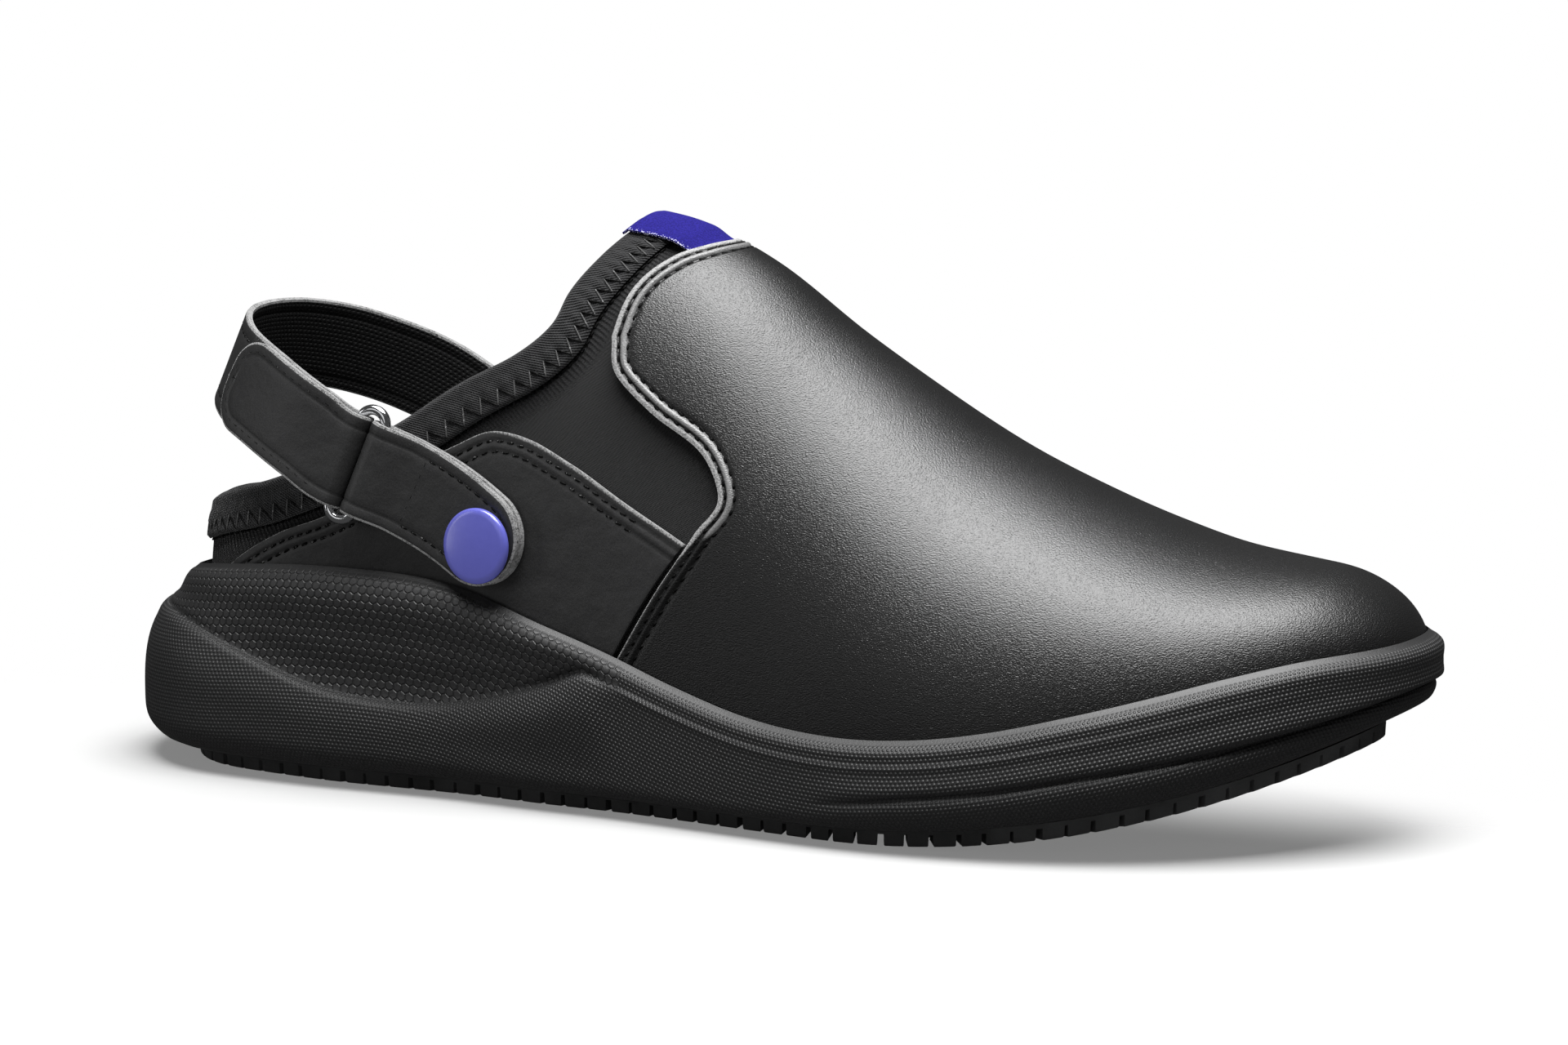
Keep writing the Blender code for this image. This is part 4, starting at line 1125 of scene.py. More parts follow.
def make_tread(colours):
    """The tread's plate and its lugs, which reach a little into the plate."""
    plate_columns = 240
    outline = tread_edge(plate_columns, 0.0)
    inner = tread_edge(plate_columns, 0.0006)
    layers = []
    for plan, height in ((inner, TREAD_TOP), (outline, TREAD_TOP - 0.0002),
                         (outline, LUG_HEIGHT + 0.0002), (inner, LUG_HEIGHT)):
        layers.append(np.column_stack([plan, spring(station_at(plan[:, 0])) + height]))
    points = wrap(np.stack(layers))
    plate = surface("tread_plate", points, unit(points - points.mean(axis=(0, 1))), closed=True)
    mend(plate, fill=True, turn=True)
    smooth(plate, 35.0)
    total = 0
    points = []
    faces = []
    for spots, sides in edge_lugs() + hexagon_lugs():
        points.append(spots)
        faces += [tuple(total + corner for corner in side) for side in sides]
        total += len(spots)
    lugs = free_mesh("tread_lugs", points, faces)
    smooth(lugs, 30.0)
    rubber = tread_finish(colours)
    dress(plate, rubber)
    dress(lugs, rubber)
    settle(plate, "outsole_rubber", "outsole")
    settle(lugs, "outsole_rubber")


def inside_outline(point, outline):
    """Whether a plan point lies inside a closed outline."""
    after = np.roll(outline, -1, axis=0)
    crosses = (outline[:, 1] > point[1]) != (after[:, 1] > point[1])
    step = after - outline
    with np.errstate(divide="ignore", invalid="ignore"):
        meets = outline[:, 0] + (point[1] - outline[:, 1]) / step[:, 1] * step[:, 0]
    return np.count_nonzero(crosses & (point[0] < meets)) % 2 == 1


def make_footbed(colours):
    """The footbed, crowned a little at its edge."""
    loop = seat_loop(200)
    station = (1 + loop[:, 0]) / 2
    low = seat_height(station)
    edge = beside_last(loop, -(UPPER_WALL + 2 * CLEARANCE), low)
    spine = np.column_stack([edge[:, 0], np.interp(edge[:, 0], *spine_line(edge)), edge[:, 2]])
    rows = [edge, edge + [0, 0, 0.55 * INSOLE_THICKNESS]]
    for share, height in ((0.02, 0.86), (0.05, 1.0), (0.12, 1.0), (0.25, 0.94), (0.45, 0.86),
                          (0.7, 0.83), (0.93, 0.83)):
        row = edge + (spine - edge) * share
        row[:, 2] = low + INSOLE_THICKNESS * height
        rows.append(row)
    points = wrap(np.stack(rows))
    bed = surface("footbed", points, np.broadcast_to(np.array([0.0, 0.0, 1.0]), points.shape), closed=True)
    mend(bed, 2e-5, fill=True, turn=True)
    smooth(bed, 50.0)
    f, height, depth, colour = twill_finish("footbed_cloth", colours, FOOTBED_PITCH, 0.7, 0.00015, 3.0)
    dress(bed, f.use(colour=colour, normal=f.bump(height, depth)))
    settle(bed, "stretch_fabric", "insole")


def spine_line(edge):
    """The middle of an outline across, by x."""
    half = len(edge) // 2
    xs = np.linspace(edge[:, 0].min(), edge[:, 0].max(), 60)
    outer = edge[:half + 1]
    inner = np.vstack([edge[half:], edge[:1]])[::-1]
    ys = 0.5 * (np.interp(xs, outer[:, 0], outer[:, 1]) + np.interp(xs, inner[:, 0], inner[:, 1]))
    return xs, ys


SHELL_COLUMNS = 300
SHELL_ROWS = 64


def make_shell(colours):
    """The stretch shell over the last, from the sole to the collar."""
    collar = collar_loop(SHELL_COLUMNS)
    seat = seat_loop(SHELL_COLUMNS)
    shares = np.linspace(0.0, 1.0, SHELL_ROWS)
    dome = unit(np.array([(1 - share) * seat + share * collar for share in shares]))
    dome = wrap(dome)
    points = on_last(dome)
    shell = surface("lining_shell", points, last_normal(dome))
    edge = on_last(np.vstack([collar, collar[:1]]))
    below = nearest_distance(points, on_last(collar_loop(1200)))
    along = np.broadcast_to(run_lengths(edge), below.shape)
    point_values(shell, "below_collar", below)
    point_values(shell, "along_collar", along)
    mend(shell, 1e-6)
    leather_wall(shell, UPPER_WALL, 0.0003)
    smooth(shell, 50.0)
    gore = shell_finish(colours)
    dress(shell, gore, gore, lining_finish(colours))
    settle(shell, "stretch_fabric", "upper")


def vamp_dome(us, vs):
    """The vamp's patch on the half sphere, for places across and up it."""
    start = math.acos(2 * VAMP_SIDE[0][0] - 1)
    angle = start * (2 * us - 1)
    bottom = np.stack([np.cos(angle), np.sin(angle), np.zeros(len(us))], -1)
    top = along_curve(both_sides(VAMP_THROAT), us)
    outer = along_curve(domes(VAMP_SIDE, -1), vs)
    inner = outer * [1.0, -1.0, 1.0]
    u = us[None, :, None]
    v = vs[:, None, None]
    first, last = bottom[np.argmin(us)], bottom[np.argmax(us)]
    top_first, top_last = top[np.argmin(us)], top[np.argmax(us)]
    ruled = (1 - v) * bottom[None] + v * top[None] + (1 - u) * outer[:, None] + u * inner[:, None]
    corners = (1 - v) * ((1 - u) * first + u * last) + v * ((1 - u) * top_first + u * top_last)
    return unit(ruled - corners)


def seam_relief(distance, rows, depth, spread):
    """How far leather sinks along its rows of stitches, swells between them and rolls off at its edge."""
    sink = sum(hump(row, spread, distance) for row in rows)
    roll = hump(0.0, 0.0005, distance)
    swell = hump(0.5 * (rows[0] + rows[1]), 0.35 * (rows[1] - rows[0]), distance)
    return depth * (0.45 * swell - sink - 0.4 * roll)


def overlay(name, dome, edge, offset, rows, depth):
    """A leather piece lying on the last, with its points and their distances from its edge."""
    points = off_last(dome, offset)
    gaps = nearest_distance(points, off_last(edge, offset))
    normals = last_normal(dome)
    points = points + seam_relief(gaps, rows, depth, 0.00042)[..., None] * normals
    return surface(name, points, normals), points, gaps


def make_vamp(colours, sizes):
    """The leather front with its two rows of stitches."""
    us = edge_steps(0.045, 30, 110)
    vs = edge_steps(0.050, 34, 104, both=False)
    dome = vamp_dome(us, vs)
    offset = OVERLAY_GAP + VAMP_WALL
    fine = np.linspace(0.0, 1.0, CURVE_POINTS)
    side = along_curve(domes(VAMP_SIDE, -1), fine)
    throat = vamp_dome(fine, np.array([0.0, 1.0]))[1]
    edge = np.vstack([side, throat[1:], (side * [1.0, -1.0, 1.0])[-2::-1]])
    edge = unit(edge)
    rows = (sizes.vamp_first_row, sizes.vamp_second_row)
    vamp, _, gaps = overlay("vamp_piece", dome, edge, offset, rows, 0.00048)
    rise = dome[..., 2] / np.sqrt(dome[..., 1] ** 2 + dome[..., 2] ** 2)
    # The cut edge's grey fibres are real; the band is painted wider where the vamp faces up, a painted
    # highlight.
    wear = 0.00035 + 0.00085 * ease(0.38, 0.46, rise)
    point_values(vamp, "cut_band", 1 - ease(0.75 * wear, 1.25 * wear, gaps))
    # Painted highlight on the swell between the rows of stitches, only where the vamp faces up.
    swell = hump(0.5 * sum(rows) + 0.0001, 0.00075, gaps)
    point_values(vamp, "swell_highlight", swell * ease(0.42, 0.50, rise))
    leather_wall(vamp, VAMP_WALL - 0.0002, 0.00040)
    smooth(vamp, 50.0)
    raw = raw_edge_finish(colours)
    dress(vamp, vamp_finish(colours), raw, raw)
    settle(vamp, "vamp_leather", "vamp")
    thread = thread_finish("black_thread", colours.thread, (0.03, 0.03, 0.03))
    sewn_rows("vamp_stitches", edge[::3], (-rows[0], -rows[1]), offset - VAMP_SINK, 0.003,
              sizes.vamp_pitch, -0.30, (0.58 * sizes.vamp_pitch, VAMP_THREAD), thread, "vamp_leather")


def quarter_grid(us, vs):
    """The quarter's patch on the half sphere, round the heel, for places along and up it."""
    gap = SEAM_GAP / LAST_LENGTH
    top = [(QUARTER_TOP[0][0] - gap, QUARTER_TOP[0][1])] + QUARTER_TOP[1:]
    start = math.acos(2 * (VAMP_SIDE[0][0] - gap) - 1)
    angle = start + (2 * math.pi - 2 * start) * us
    bottom = np.stack([np.cos(angle), -np.sin(angle), np.zeros(len(us))], -1)
    edge = along_curve(both_sides(top), us)
    return unit(np.array([(1 - v) * bottom + v * edge for v in vs]))


def make_quarter(colours, sizes):
    """The leather round the heel with its two rows of stitches."""
    us = edge_steps(0.012, 8, 300)
    vs = edge_steps(0.26, 20, 24, both=False)
    dome = quarter_grid(us, vs)
    offset = OVERLAY_GAP + QUARTER_WALL
    fine = np.linspace(0.0, 1.0, 1200)
    edge = quarter_grid(fine, np.array([0.0, 1.0]))[1]
    rows = (sizes.first_row, sizes.second_row)
    quarter, points, gaps = overlay("quarter_piece", dome, edge, offset, rows, 0.00026)
    wear = 0.0005 * ease(0.26, 0.34, station_at(points[..., 0])) + 0.00012
    point_values(quarter, "cut_band", 1 - ease(0.7 * wear, 1.3 * wear, gaps))
    leather_wall(quarter, QUARTER_WALL - 0.0001, 0.00035)
    smooth(quarter, 50.0)
    raw = raw_edge_finish(colours)
    leather = smooth_leather_finish(colours)
    dress(quarter, leather, raw, raw)
    settle(quarter, "strap_leather", "quarter")
    thread = thread_finish("quarter_thread", colours.thread, (0.16, 0.16, 0.16))
    sewn_rows("quarter_stitches", edge[30:-30:4], rows, offset - QUARTER_SINK, 0.002,
              sizes.stitch_pitch, 0.15, (0.66 * sizes.stitch_pitch, QUARTER_THREAD), thread,
              "strap_leather")
    return leather, raw


def past_collar(count, distance):
    """Points round the half sphere, past the collar's edge by a distance, or below it if negative."""
    collar = collar_loop(count)
    seat = seat_loop(count)
    step = 0.03
    near = unit((1 - step) * collar + step * seat)
    length = np.linalg.norm(on_last(collar) - on_last(near), axis=1) / step
    share = (distance / length)[:, None]
    return unit((1 + share) * collar - share * seat)


def band_profile(outside, inside):
    """Distances past the collar's edge and offsets from the last, round the band's section."""
    rolls = ((0.35, 0.75 * outside), (0.75, 0.25 * outside), (1.0, -0.35 * UPPER_WALL),
             (0.85, -0.75 * UPPER_WALL), (0.5, inside - 0.0002))
    lows = ((0.0, 0.0006), (-0.0020, 0.0007), (-0.0060, 0.0007), (-0.0072, 0.0005))
    return [
        (-BINDING_WIDTH + 0.0003, OVERLAY_GAP * 0.5), (-BINDING_WIDTH, 0.6 * outside),
        (-BINDING_WIDTH + 0.0004, 0.95 * outside), (-BINDING_WIDTH + 0.0012, 1.05 * outside),
        (-0.0060, 0.92 * outside), (-0.0046, 1.10 * outside), (-0.0032, 1.10 * outside),
        (-0.0020, 0.98 * outside), (-0.0010, outside), (0.0, 1.0 * outside),
        *((share * BINDING_ROLL, offset) for share, offset in rolls),
        *((distance, inside - drop) for distance, drop in lows),
        (-0.0074, inside), (-0.0040, inside), (-0.0010, inside),
    ]


def make_collar_band(colours, sizes):
    """The band round the collar with its zigzag and the seam under it."""
    count = 900
    collar = collar_loop(count)
    outside = OVERLAY_GAP + BINDING_WALL
    loop_length = run_lengths(on_last(np.vstack([collar, collar[:1]])))[-1]
    tips = int(round(loop_length / sizes.zigzag_pitch))
    wave = np.cos(np.arange(count) * 2 * math.pi * tips / count)
    rows = []
    for distance, offset in band_profile(outside, -UPPER_WALL - CLEARANCE):
        lift = 0.00022 * wave * (offset > 0.9 * outside) * float(hump(-0.0048, 0.0020, distance))
        rows.append(off_last(past_collar(count, distance), offset + lift))
    rows.append(rows[0])
    points = wrap(np.stack(rows))
    band = surface("collar_band", points, unit(points - on_last(collar).mean(0)))
    mend(band, 1e-6, turn=True)
    smooth(band, 60.0)
    dress(band, band_finish(colours))
    settle(band, "stretch_fabric", "collar_binding")
    legs = 2 * tips
    tips_low = np.arange(legs) % 2 == 0
    ends = past_collar(legs, np.where(tips_low, ZIGZAG_LOW - BINDING_WIDTH, -ZIGZAG_HIGH))
    spots = off_last(ends, outside + 0.0001)
    normals = last_normal(ends)
    after = np.roll(spots, -1, axis=0)
    centres = 0.5 * (spots + after)
    normals = unit(normals + np.roll(normals, -1, axis=0))
    directions = after - spots
    lengths = np.linalg.norm(directions, axis=1)
    # The zigzag's pale legs are painted glints on black thread: a grey base with paler flecks.
    grey = thread_finish("painted_glint_thread", (0.08, 0.08, 0.08), colours.zigzag_glint_colour)
    black = thread_finish("collar_thread", colours.thread, (0.03, 0.03, 0.03))
    for name, pick, finish in (("collar_zigzag_pale", 0, grey), ("collar_zigzag_dark", 1, black)):
        keep = np.arange(legs) % 2 == pick
        stitch_row(name, centres[keep], normals[keep], directions[keep], lengths[keep] * 0.96,
                   ZIGZAG_THREAD, finish, "stretch_fabric")
    seam = past_collar(count, -(BINDING_WIDTH + 0.0002))
    stitches = stitches_beside(np.vstack([seam, seam[:1]]), 0.0002, 0.0021)
    stitch_row("collar_seam", *stitches, 0.0015, COLLAR_THREAD, black, "stretch_fabric")


def layers_lift():
    """Offset from the last of the middle between the strap's two layers, where they lie on the quarter."""
    return OVERLAY_GAP + QUARTER_WALL + CLEARANCE + STRAP_WALL + LAYER_GAP / 2


def anchor_route(side):
    share = np.linspace(0.0, 1.0, 12)
    dome = unit(along_curve(domes(ANCHOR, side), share))
    lift = layers_lift() + (RING_OFFSET - layers_lift()) * ease(0.45, 1.0, share)
    normal = last_normal(dome)
    return np.column_stack([on_last(dome) + lift[:, None] * normal, np.arcsin(normal[:, 2])])


def heel_route(side):
    rows = []
    for forward, sideways, height, lean in STRAP:
        rows.append([LAST_BACK + forward * LAST_LENGTH, side * sideways * STRAP_REACH,
                     height * STRAP_HEIGHT, lean * STRAP_LEAN])
    return np.array(rows)


def strap_frames(line, lean):
    """Outward normal and width direction along a strap's middle line."""
    tangent = unit(np.gradient(line, axis=0))
    plan = np.cross(tangent, [0.0, 0.0, 1.0])
    middle = np.array([LAST_BACK + 0.25 * LAST_LENGTH, 0.0, 0.0])
    away = np.sign(np.sum(plan * (line - middle), axis=1, keepdims=True))
    plan = unit(plan * away)
    tilted = plan * np.cos(lean)[:, None] + np.array([0.0, 0.0, 1.0]) * np.sin(lean)[:, None]
    normal = unit(tilted - tangent * np.sum(tilted * tangent, axis=1, keepdims=True))
    return normal, unit(np.cross(normal, tangent))


def half_width(distance, radius, inset):
    """Half the strap's width at a distance from its rounded end, along a line inset from its edge."""
    reach = np.clip(distance, 0.0, radius)
    square = (radius - inset) ** 2 - (radius - reach) ** 2
    return np.where(square > 0, STRAP_WIDTH / 2 - radius + np.sqrt(np.maximum(square, 0.0)), 0.0)


def reaches(reach, step):
    """Distances from a fold to a rounded end, closer together near the end."""
    near = np.array([0.0052, 0.0044, 0.0037, 0.0030, 0.0023, 0.0017, 0.0012, 0.0008, 0.0005, 0.00025,
                     0.0001, 0.00003])
    return np.concatenate([np.linspace(0.0, reach - 0.006, int(reach / step)), reach - near])


class StrapLine:
    """The strap's middle line by distance, measured from the ring, positive towards the heel."""

    def __init__(self):
        line = np.vstack([anchor_route(-1), heel_route(-1), heel_route(1)[-2::-1], anchor_route(1)[::-1]])
        rows = along_curve(line, np.linspace(0.0, 1.0, CURVE_POINTS))
        self.line = rows[:, :3]
        self.normal, self.width = strap_frames(self.line, rows[:, 3])
        wanted = off_last(dome_point(ANCHOR[-1], -1), RING_OFFSET)
        index = int(np.argmin(np.linalg.norm(self.line - wanted, axis=1)))
        self.ring = self.line[index]
        self.ring_normal = self.normal[index]
        self.ring_width = self.width[index]
        self.ring_ahead = unit(self.line[index + 1] - self.line[index - 1])
        lengths = run_lengths(self.line)
        self.distance = lengths - lengths[index]

    def at(self, distances):
        """Middle, normal and width direction at distances from the ring, straight next to it."""
        picked = []
        for values in (self.line, self.normal, self.width):
            columns = [np.interp(distances, self.distance, values[:, k]) for k in range(3)]
            picked.append(np.stack(columns, -1))
        near = 1 - ease(RING_HALF_WIDTH, RING_HALF_WIDTH + LOOP_EASE, np.abs(distances))[:, None]
        straight = self.ring + np.outer(distances, self.ring_ahead)
        centre = (1 - near) * picked[0] + near * straight
        normal = (1 - near) * picked[1] + near * self.ring_normal
        width = (1 - near) * picked[2] + near * self.ring_width
        return centre, unit(normal), unit(width)

    def folded(self, sign, low_reach, high_reach, step):
        """Middle line, normal and width of a band that turns round one bar of the ring and comes back."""
        bar = sign * RING_HALF_WIDTH
        turn = WIRE / 2 + CLEARANCE + STRAP_WALL / 2
        flat = (STRAP_WALL + LAYER_GAP) / 2
        low = reaches(low_reach, step)[::-1]
        high = reaches(high_reach, step)
        low_gap = turn + (flat - turn) * ease(0.0, LOOP_EASE, low)
        high_gap = turn + (flat - turn) * ease(0.0, LOOP_EASE, high)
        centre_low, normal_low, width_low = self.at(bar + sign * low)
        centre_high, normal_high, width_high = self.at(bar + sign * high)
        inward = -sign * self.ring_ahead
        angles = np.radians(np.linspace(-80.0, 80.0, 9))
        spoke = np.outer(np.cos(angles), inward) + np.outer(np.sin(angles), self.ring_normal)
        centres = np.vstack([centre_low - normal_low * low_gap[:, None],
                             self.ring + bar * self.ring_ahead + turn * spoke,
                             centre_high + normal_high * high_gap[:, None]])
        normals = np.vstack([-normal_low, spoke, normal_high])
        widths = np.vstack([width_low, np.repeat([self.ring_width], len(angles), axis=0), width_high])
        return centres, normals, widths, low, high


def band_rows(centres, normals, widths, distances, radii, channel):
    """Section loops of a flat strap with rounded edges and sunk stitch channels on both faces."""
    insets = np.array([0.0, 0.0002, 0.0005, 0.0010, channel - 0.0007, channel - 0.00035, channel,
                       channel + 0.00035, channel + 0.0007, channel + 0.002])
    thick = STRAP_WALL / 2 * (1 - 0.30 * hump(0.0, 0.0004, insets) - 0.24 * hump(channel, 0.0004, insets))
    thick = np.append(thick, STRAP_WALL / 2)
    rows = []
    for centre, normal, width, distance, radius in zip(centres, normals, widths, distances, radii):
        across = np.append(half_width(distance, radius, insets), 0.0)
        top = np.column_stack([across, thick])
        face = np.vstack([top, (top * [-1.0, 1.0])[-2::-1]])
        section_loop = np.vstack([face, face[::-1] * [1.0, -1.0]])
        rows.append(centre + np.outer(section_loop[:, 0], width) + np.outer(section_loop[:, 1], normal))
    return np.stack(rows)


def ribbon_piece(name, centres, normals, widths, distances, radii, channel, finishes, outer_kind,
                 inner_kind):
    """A strap piece: outer face, two cut edges and the inner face, each with its own finish."""
    rows = band_rows(centres, normals, widths, distances, radii, channel)
    closed = np.concatenate([rows, rows[:, :1]], axis=1)
    side_count = rows.shape[1] // 2
    run = run_lengths(centres)
    across = run_lengths(closed[len(closed) // 2])
    cloth = np.stack([np.broadcast_to(run[:, None], closed.shape[:2]),
                      np.broadcast_to(across, closed.shape[:2])], -1)
    outward = unit(closed - centres[:, None])
    piece = surface(name, closed, outward, cloth)
    columns = closed.shape[1]
    polygons = piece.data.polygons
    slots = np.empty(len(polygons), int)
    for index in range(len(polygons)):
        row, column = divmod(index, columns - 1)
        if column < 2 or side_count - 3 <= column < side_count + 2 or column >= 2 * side_count - 3:
            slots[index] = 1
        elif column < side_count - 1:
            slots[index] = outer_kind(row)
        else:
            slots[index] = inner_kind(row)
    dress(piece, *finishes)
    polygons.foreach_set("material_index", slots)
    mend(piece, 1e-7, fill=True, turn=True)
    smooth(piece, 50.0)
    return piece


def strap_stitches(name, frames, rows, across, thread, pitch):
    """Stitches on a strap's outer face, along a line of row places and distances across."""
    centres, normals, widths = frames
    low = np.clip(np.floor(rows).astype(int), 0, len(centres) - 2)
    t = (rows - low)[:, None]
    centre = centres[low] * (1 - t) + centres[low + 1] * t
    normal = unit(normals[low] * (1 - t) + normals[low + 1] * t)
    width = unit(widths[low] * (1 - t) + widths[low + 1] * t)
    points = centre + width * across[:, None] + normal * (STRAP_WALL / 2 - STRAP_SINK)
    placed = spaced(points, pitch, np.hstack([normal, np.gradient(points, axis=0)]))
    stitch_row(name, placed[:, :3], unit(placed[:, 3:6]), unit(placed[:, 6:9]), 0.68 * pitch,
               STRAP_THREAD, thread, "strap_leather")


def folded_band(strap, sign, low_reach, high_reach):
    """A folded band's frames, distances from its ends, layers and the first row of its top layer."""
    centres, normals, widths, low, high = strap.folded(sign, low_reach, high_reach, STRAP_STEP)
    turn_rows = len(centres) - len(low) - len(high)
    distances = np.concatenate([low_reach - low, np.ones(turn_rows), high_reach - high])
    return (centres, normals, widths), distances, low, high, len(low) + turn_rows


def make_anchor(strap, sizes, finishes, thread):
    """The outer side's short strap end; its outer face is the last part of the band."""
    reach = abs(strap.distance[0]) - RING_HALF_WIDTH
    frames, distances, _, high, first = folded_band(strap, -1, reach, reach)
    radii = np.full(len(distances), ROUND_END)
    anchor = ribbon_piece("anchor_strap", *frames, distances, radii, sizes.anchor_row, finishes,
                          lambda row: 0, lambda row: 2)
    settle(anchor, "strap_leather", "strap_anchor")
    edge = STRAP_WIDTH / 2 - sizes.anchor_row
    turn = np.radians(np.linspace(90.0, -90.0, 24))
    round_reach = reach - STRAP_WIDTH / 2 + edge * np.cos(turn)
    round_rows = first + np.interp(round_reach, high, np.arange(len(high)))
    start = first + np.interp(CROSS_SEAM, high, np.arange(len(high)))
    out = np.linspace(start, round_rows[0], 30)
    back = np.linspace(round_rows[-1], start, 30)
    rows = np.concatenate([out, round_rows, back, np.full(16, start)])
    across = np.concatenate([np.full(30, edge), edge * np.sin(turn), np.full(30, -edge),
                             np.linspace(-edge, edge, 16)])
    strap_stitches("anchor_stitches", frames, rows, across, thread, sizes.stitch_pitch)


def make_heel_strap(strap, sizes, finishes, thread):
    """The strap from the inner button round the heel to the ring, and back as the hook tab."""
    reach = strap.distance[-1] - RING_HALF_WIDTH
    tab = TAB_LENGTH - RING_HALF_WIDTH
    frames, distances, low, high, first = folded_band(strap, 1, reach, tab)
    radii = np.concatenate([np.full(first, ROUND_END), np.full(len(high), TAB_ROUND)])
    under_tab = int(np.argmin(np.abs(low - tab)))
    band = ribbon_piece("heel_strap_band", *frames, distances, radii, sizes.strap_row, finishes,
                        lambda row: 0 if row >= len(low) else 2,
                        lambda row: 3 if row > under_tab else 0)
    settle(band, "strap_leather", "heel_strap")
    edge = STRAP_WIDTH / 2 - sizes.tab_row
    corner = TAB_ROUND - sizes.tab_row
    turn = np.radians(np.linspace(90.0, 0.0, 10))
    round_reach = tab - TAB_ROUND + corner * np.cos(turn)
    round_across = STRAP_WIDTH / 2 - TAB_ROUND + corner * np.sin(turn)
    straight = np.linspace(TAB_SEAM_START, tab - TAB_ROUND, 30)
    outward = np.concatenate([straight, round_reach, round_reach[::-1], straight[::-1]])
    across = np.concatenate([np.full(30, edge), round_across, -round_across[::-1],
                             np.full(30, -edge)])
    rows = first + np.interp(outward, high, np.arange(len(high)))
    strap_stitches("tab_stitches", frames, rows, across, thread, sizes.stitch_pitch)
    centres, normals, widths = frames
    edge = STRAP_WIDTH / 2 - sizes.strap_row
    last = np.interp(-0.010, -low, np.arange(len(low)))
    rows = np.linspace(16, last, 260)
    for number, side in enumerate((edge, -edge), 1):
        strap_stitches(f"strap_stitches_{number}", (centres, -normals, widths), rows,
                       np.full(260, side), thread, sizes.stitch_pitch)


def make_straps(colours, sizes, leather, raw):
    strap = StrapLine()
    finishes = (leather, raw, strap_lining_finish(colours), hook_finish(colours))
    thread = thread_finish("strap_thread", colours.thread, (0.20, 0.20, 0.20))
    make_anchor(strap, sizes, finishes, thread)
    make_heel_strap(strap, sizes, finishes, thread)
    return strap


def make_ring(strap):
    """The ring: round wire along a rectangle with round corners."""
    half_length = STRAP_WIDTH / 2 + RING_OVERHANG
    corner = RING_CORNER
    path = []
    for sign_u, sign_v, first in ((1, 1, 0), (-1, 1, 90), (-1, -1, 180), (1, -1, 270)):
        for angle in np.radians(first + np.linspace(0.0, 90.0, 10)):
            path.append((sign_u * (RING_HALF_WIDTH - corner) + corner * math.cos(angle),
                         sign_v * (half_length - corner) + corner * math.sin(angle)))
    path = np.array(path)
    ahead = np.roll(path, -1, axis=0) - np.roll(path, 1, axis=0)
    outward = unit(np.stack([ahead[:, 1], -ahead[:, 0]], -1))
    rows = []
    for angle in np.linspace(0.0, 2 * math.pi, 25):
        spread = path + outward * WIRE / 2 * math.cos(angle)
        across = np.outer(spread[:, 0], strap.ring_ahead) + np.outer(spread[:, 1], strap.ring_width)
        rows.append(strap.ring + across + strap.ring_normal * WIRE / 2 * math.sin(angle))
    points = wrap(np.stack(rows))
    ring = surface("chrome_ring", points, unit(points - strap.ring), closed=True)
    mend(ring, turn=True)
    smooth(ring, 80.0)
    dress(ring, chrome_finish())
    settle(ring, "ring_chrome", "strap_ring")


def make_buttons(colours):
    """Domed buttons with a rolled rim, turned from their profile."""
    finish = button_finish(colours)
    two_layers = layers_lift() + LAYER_GAP / 2 + STRAP_WALL + 2 * CLEARANCE
    one_layer = layers_lift() - LAYER_GAP / 2 + 2 * CLEARANCE
    r = BUTTON_RADIUS
    profile = [(0.88 * r, 0.0), (0.97 * r, 0.00015), (r, 0.0005), (r, 0.9 * BUTTON_RIM),
               (0.985 * r, 1.2 * BUTTON_RIM), (0.955 * r, BUTTON_RIM + 0.00045)]
    for share in np.linspace(0.91, 0.0, 12):
        profile.append((max(share * r, 1e-6), BUTTON_RIM + BUTTON_DOME - 0.0005 * share ** 2))
    turn = np.linspace(0.0, 2 * math.pi, 73)
    local = np.stack([np.stack([radius * np.cos(turn), radius * np.sin(turn), np.full(73, height)], -1)
                      for radius, height in profile])
    for name, node, side, lift in (("button_cap_outer", "button_outer", -1, two_layers),
                                   ("button_cap_inner", "button_inner", 1, one_layer)):
        dome = dome_point(BUTTON_PLACE, side)
        place = off_last(dome, lift)
        normal = last_normal(dome)
        forward = unit(np.cross([0.0, 0.0, 1.0], normal))
        up = np.cross(normal, forward)
        points = place + local @ np.stack([forward, up, normal])
        cap = surface(name, points, np.broadcast_to(normal, points.shape), closed=True)
        mend(cap, 5e-6, fill=True, turn=True)
        smooth(cap, 60.0)
        dress(cap, finish)
        settle(cap, "button_blue", node)


def edge_along(rows, across):
    """Where an edge over the throat lies along the half sphere, for places across it."""
    curve = along_curve(domes(rows, -1), np.linspace(0.0, 1.0, CURVE_POINTS))
    return np.interp(-np.abs(across), curve[:, 1], curve[:, 0])


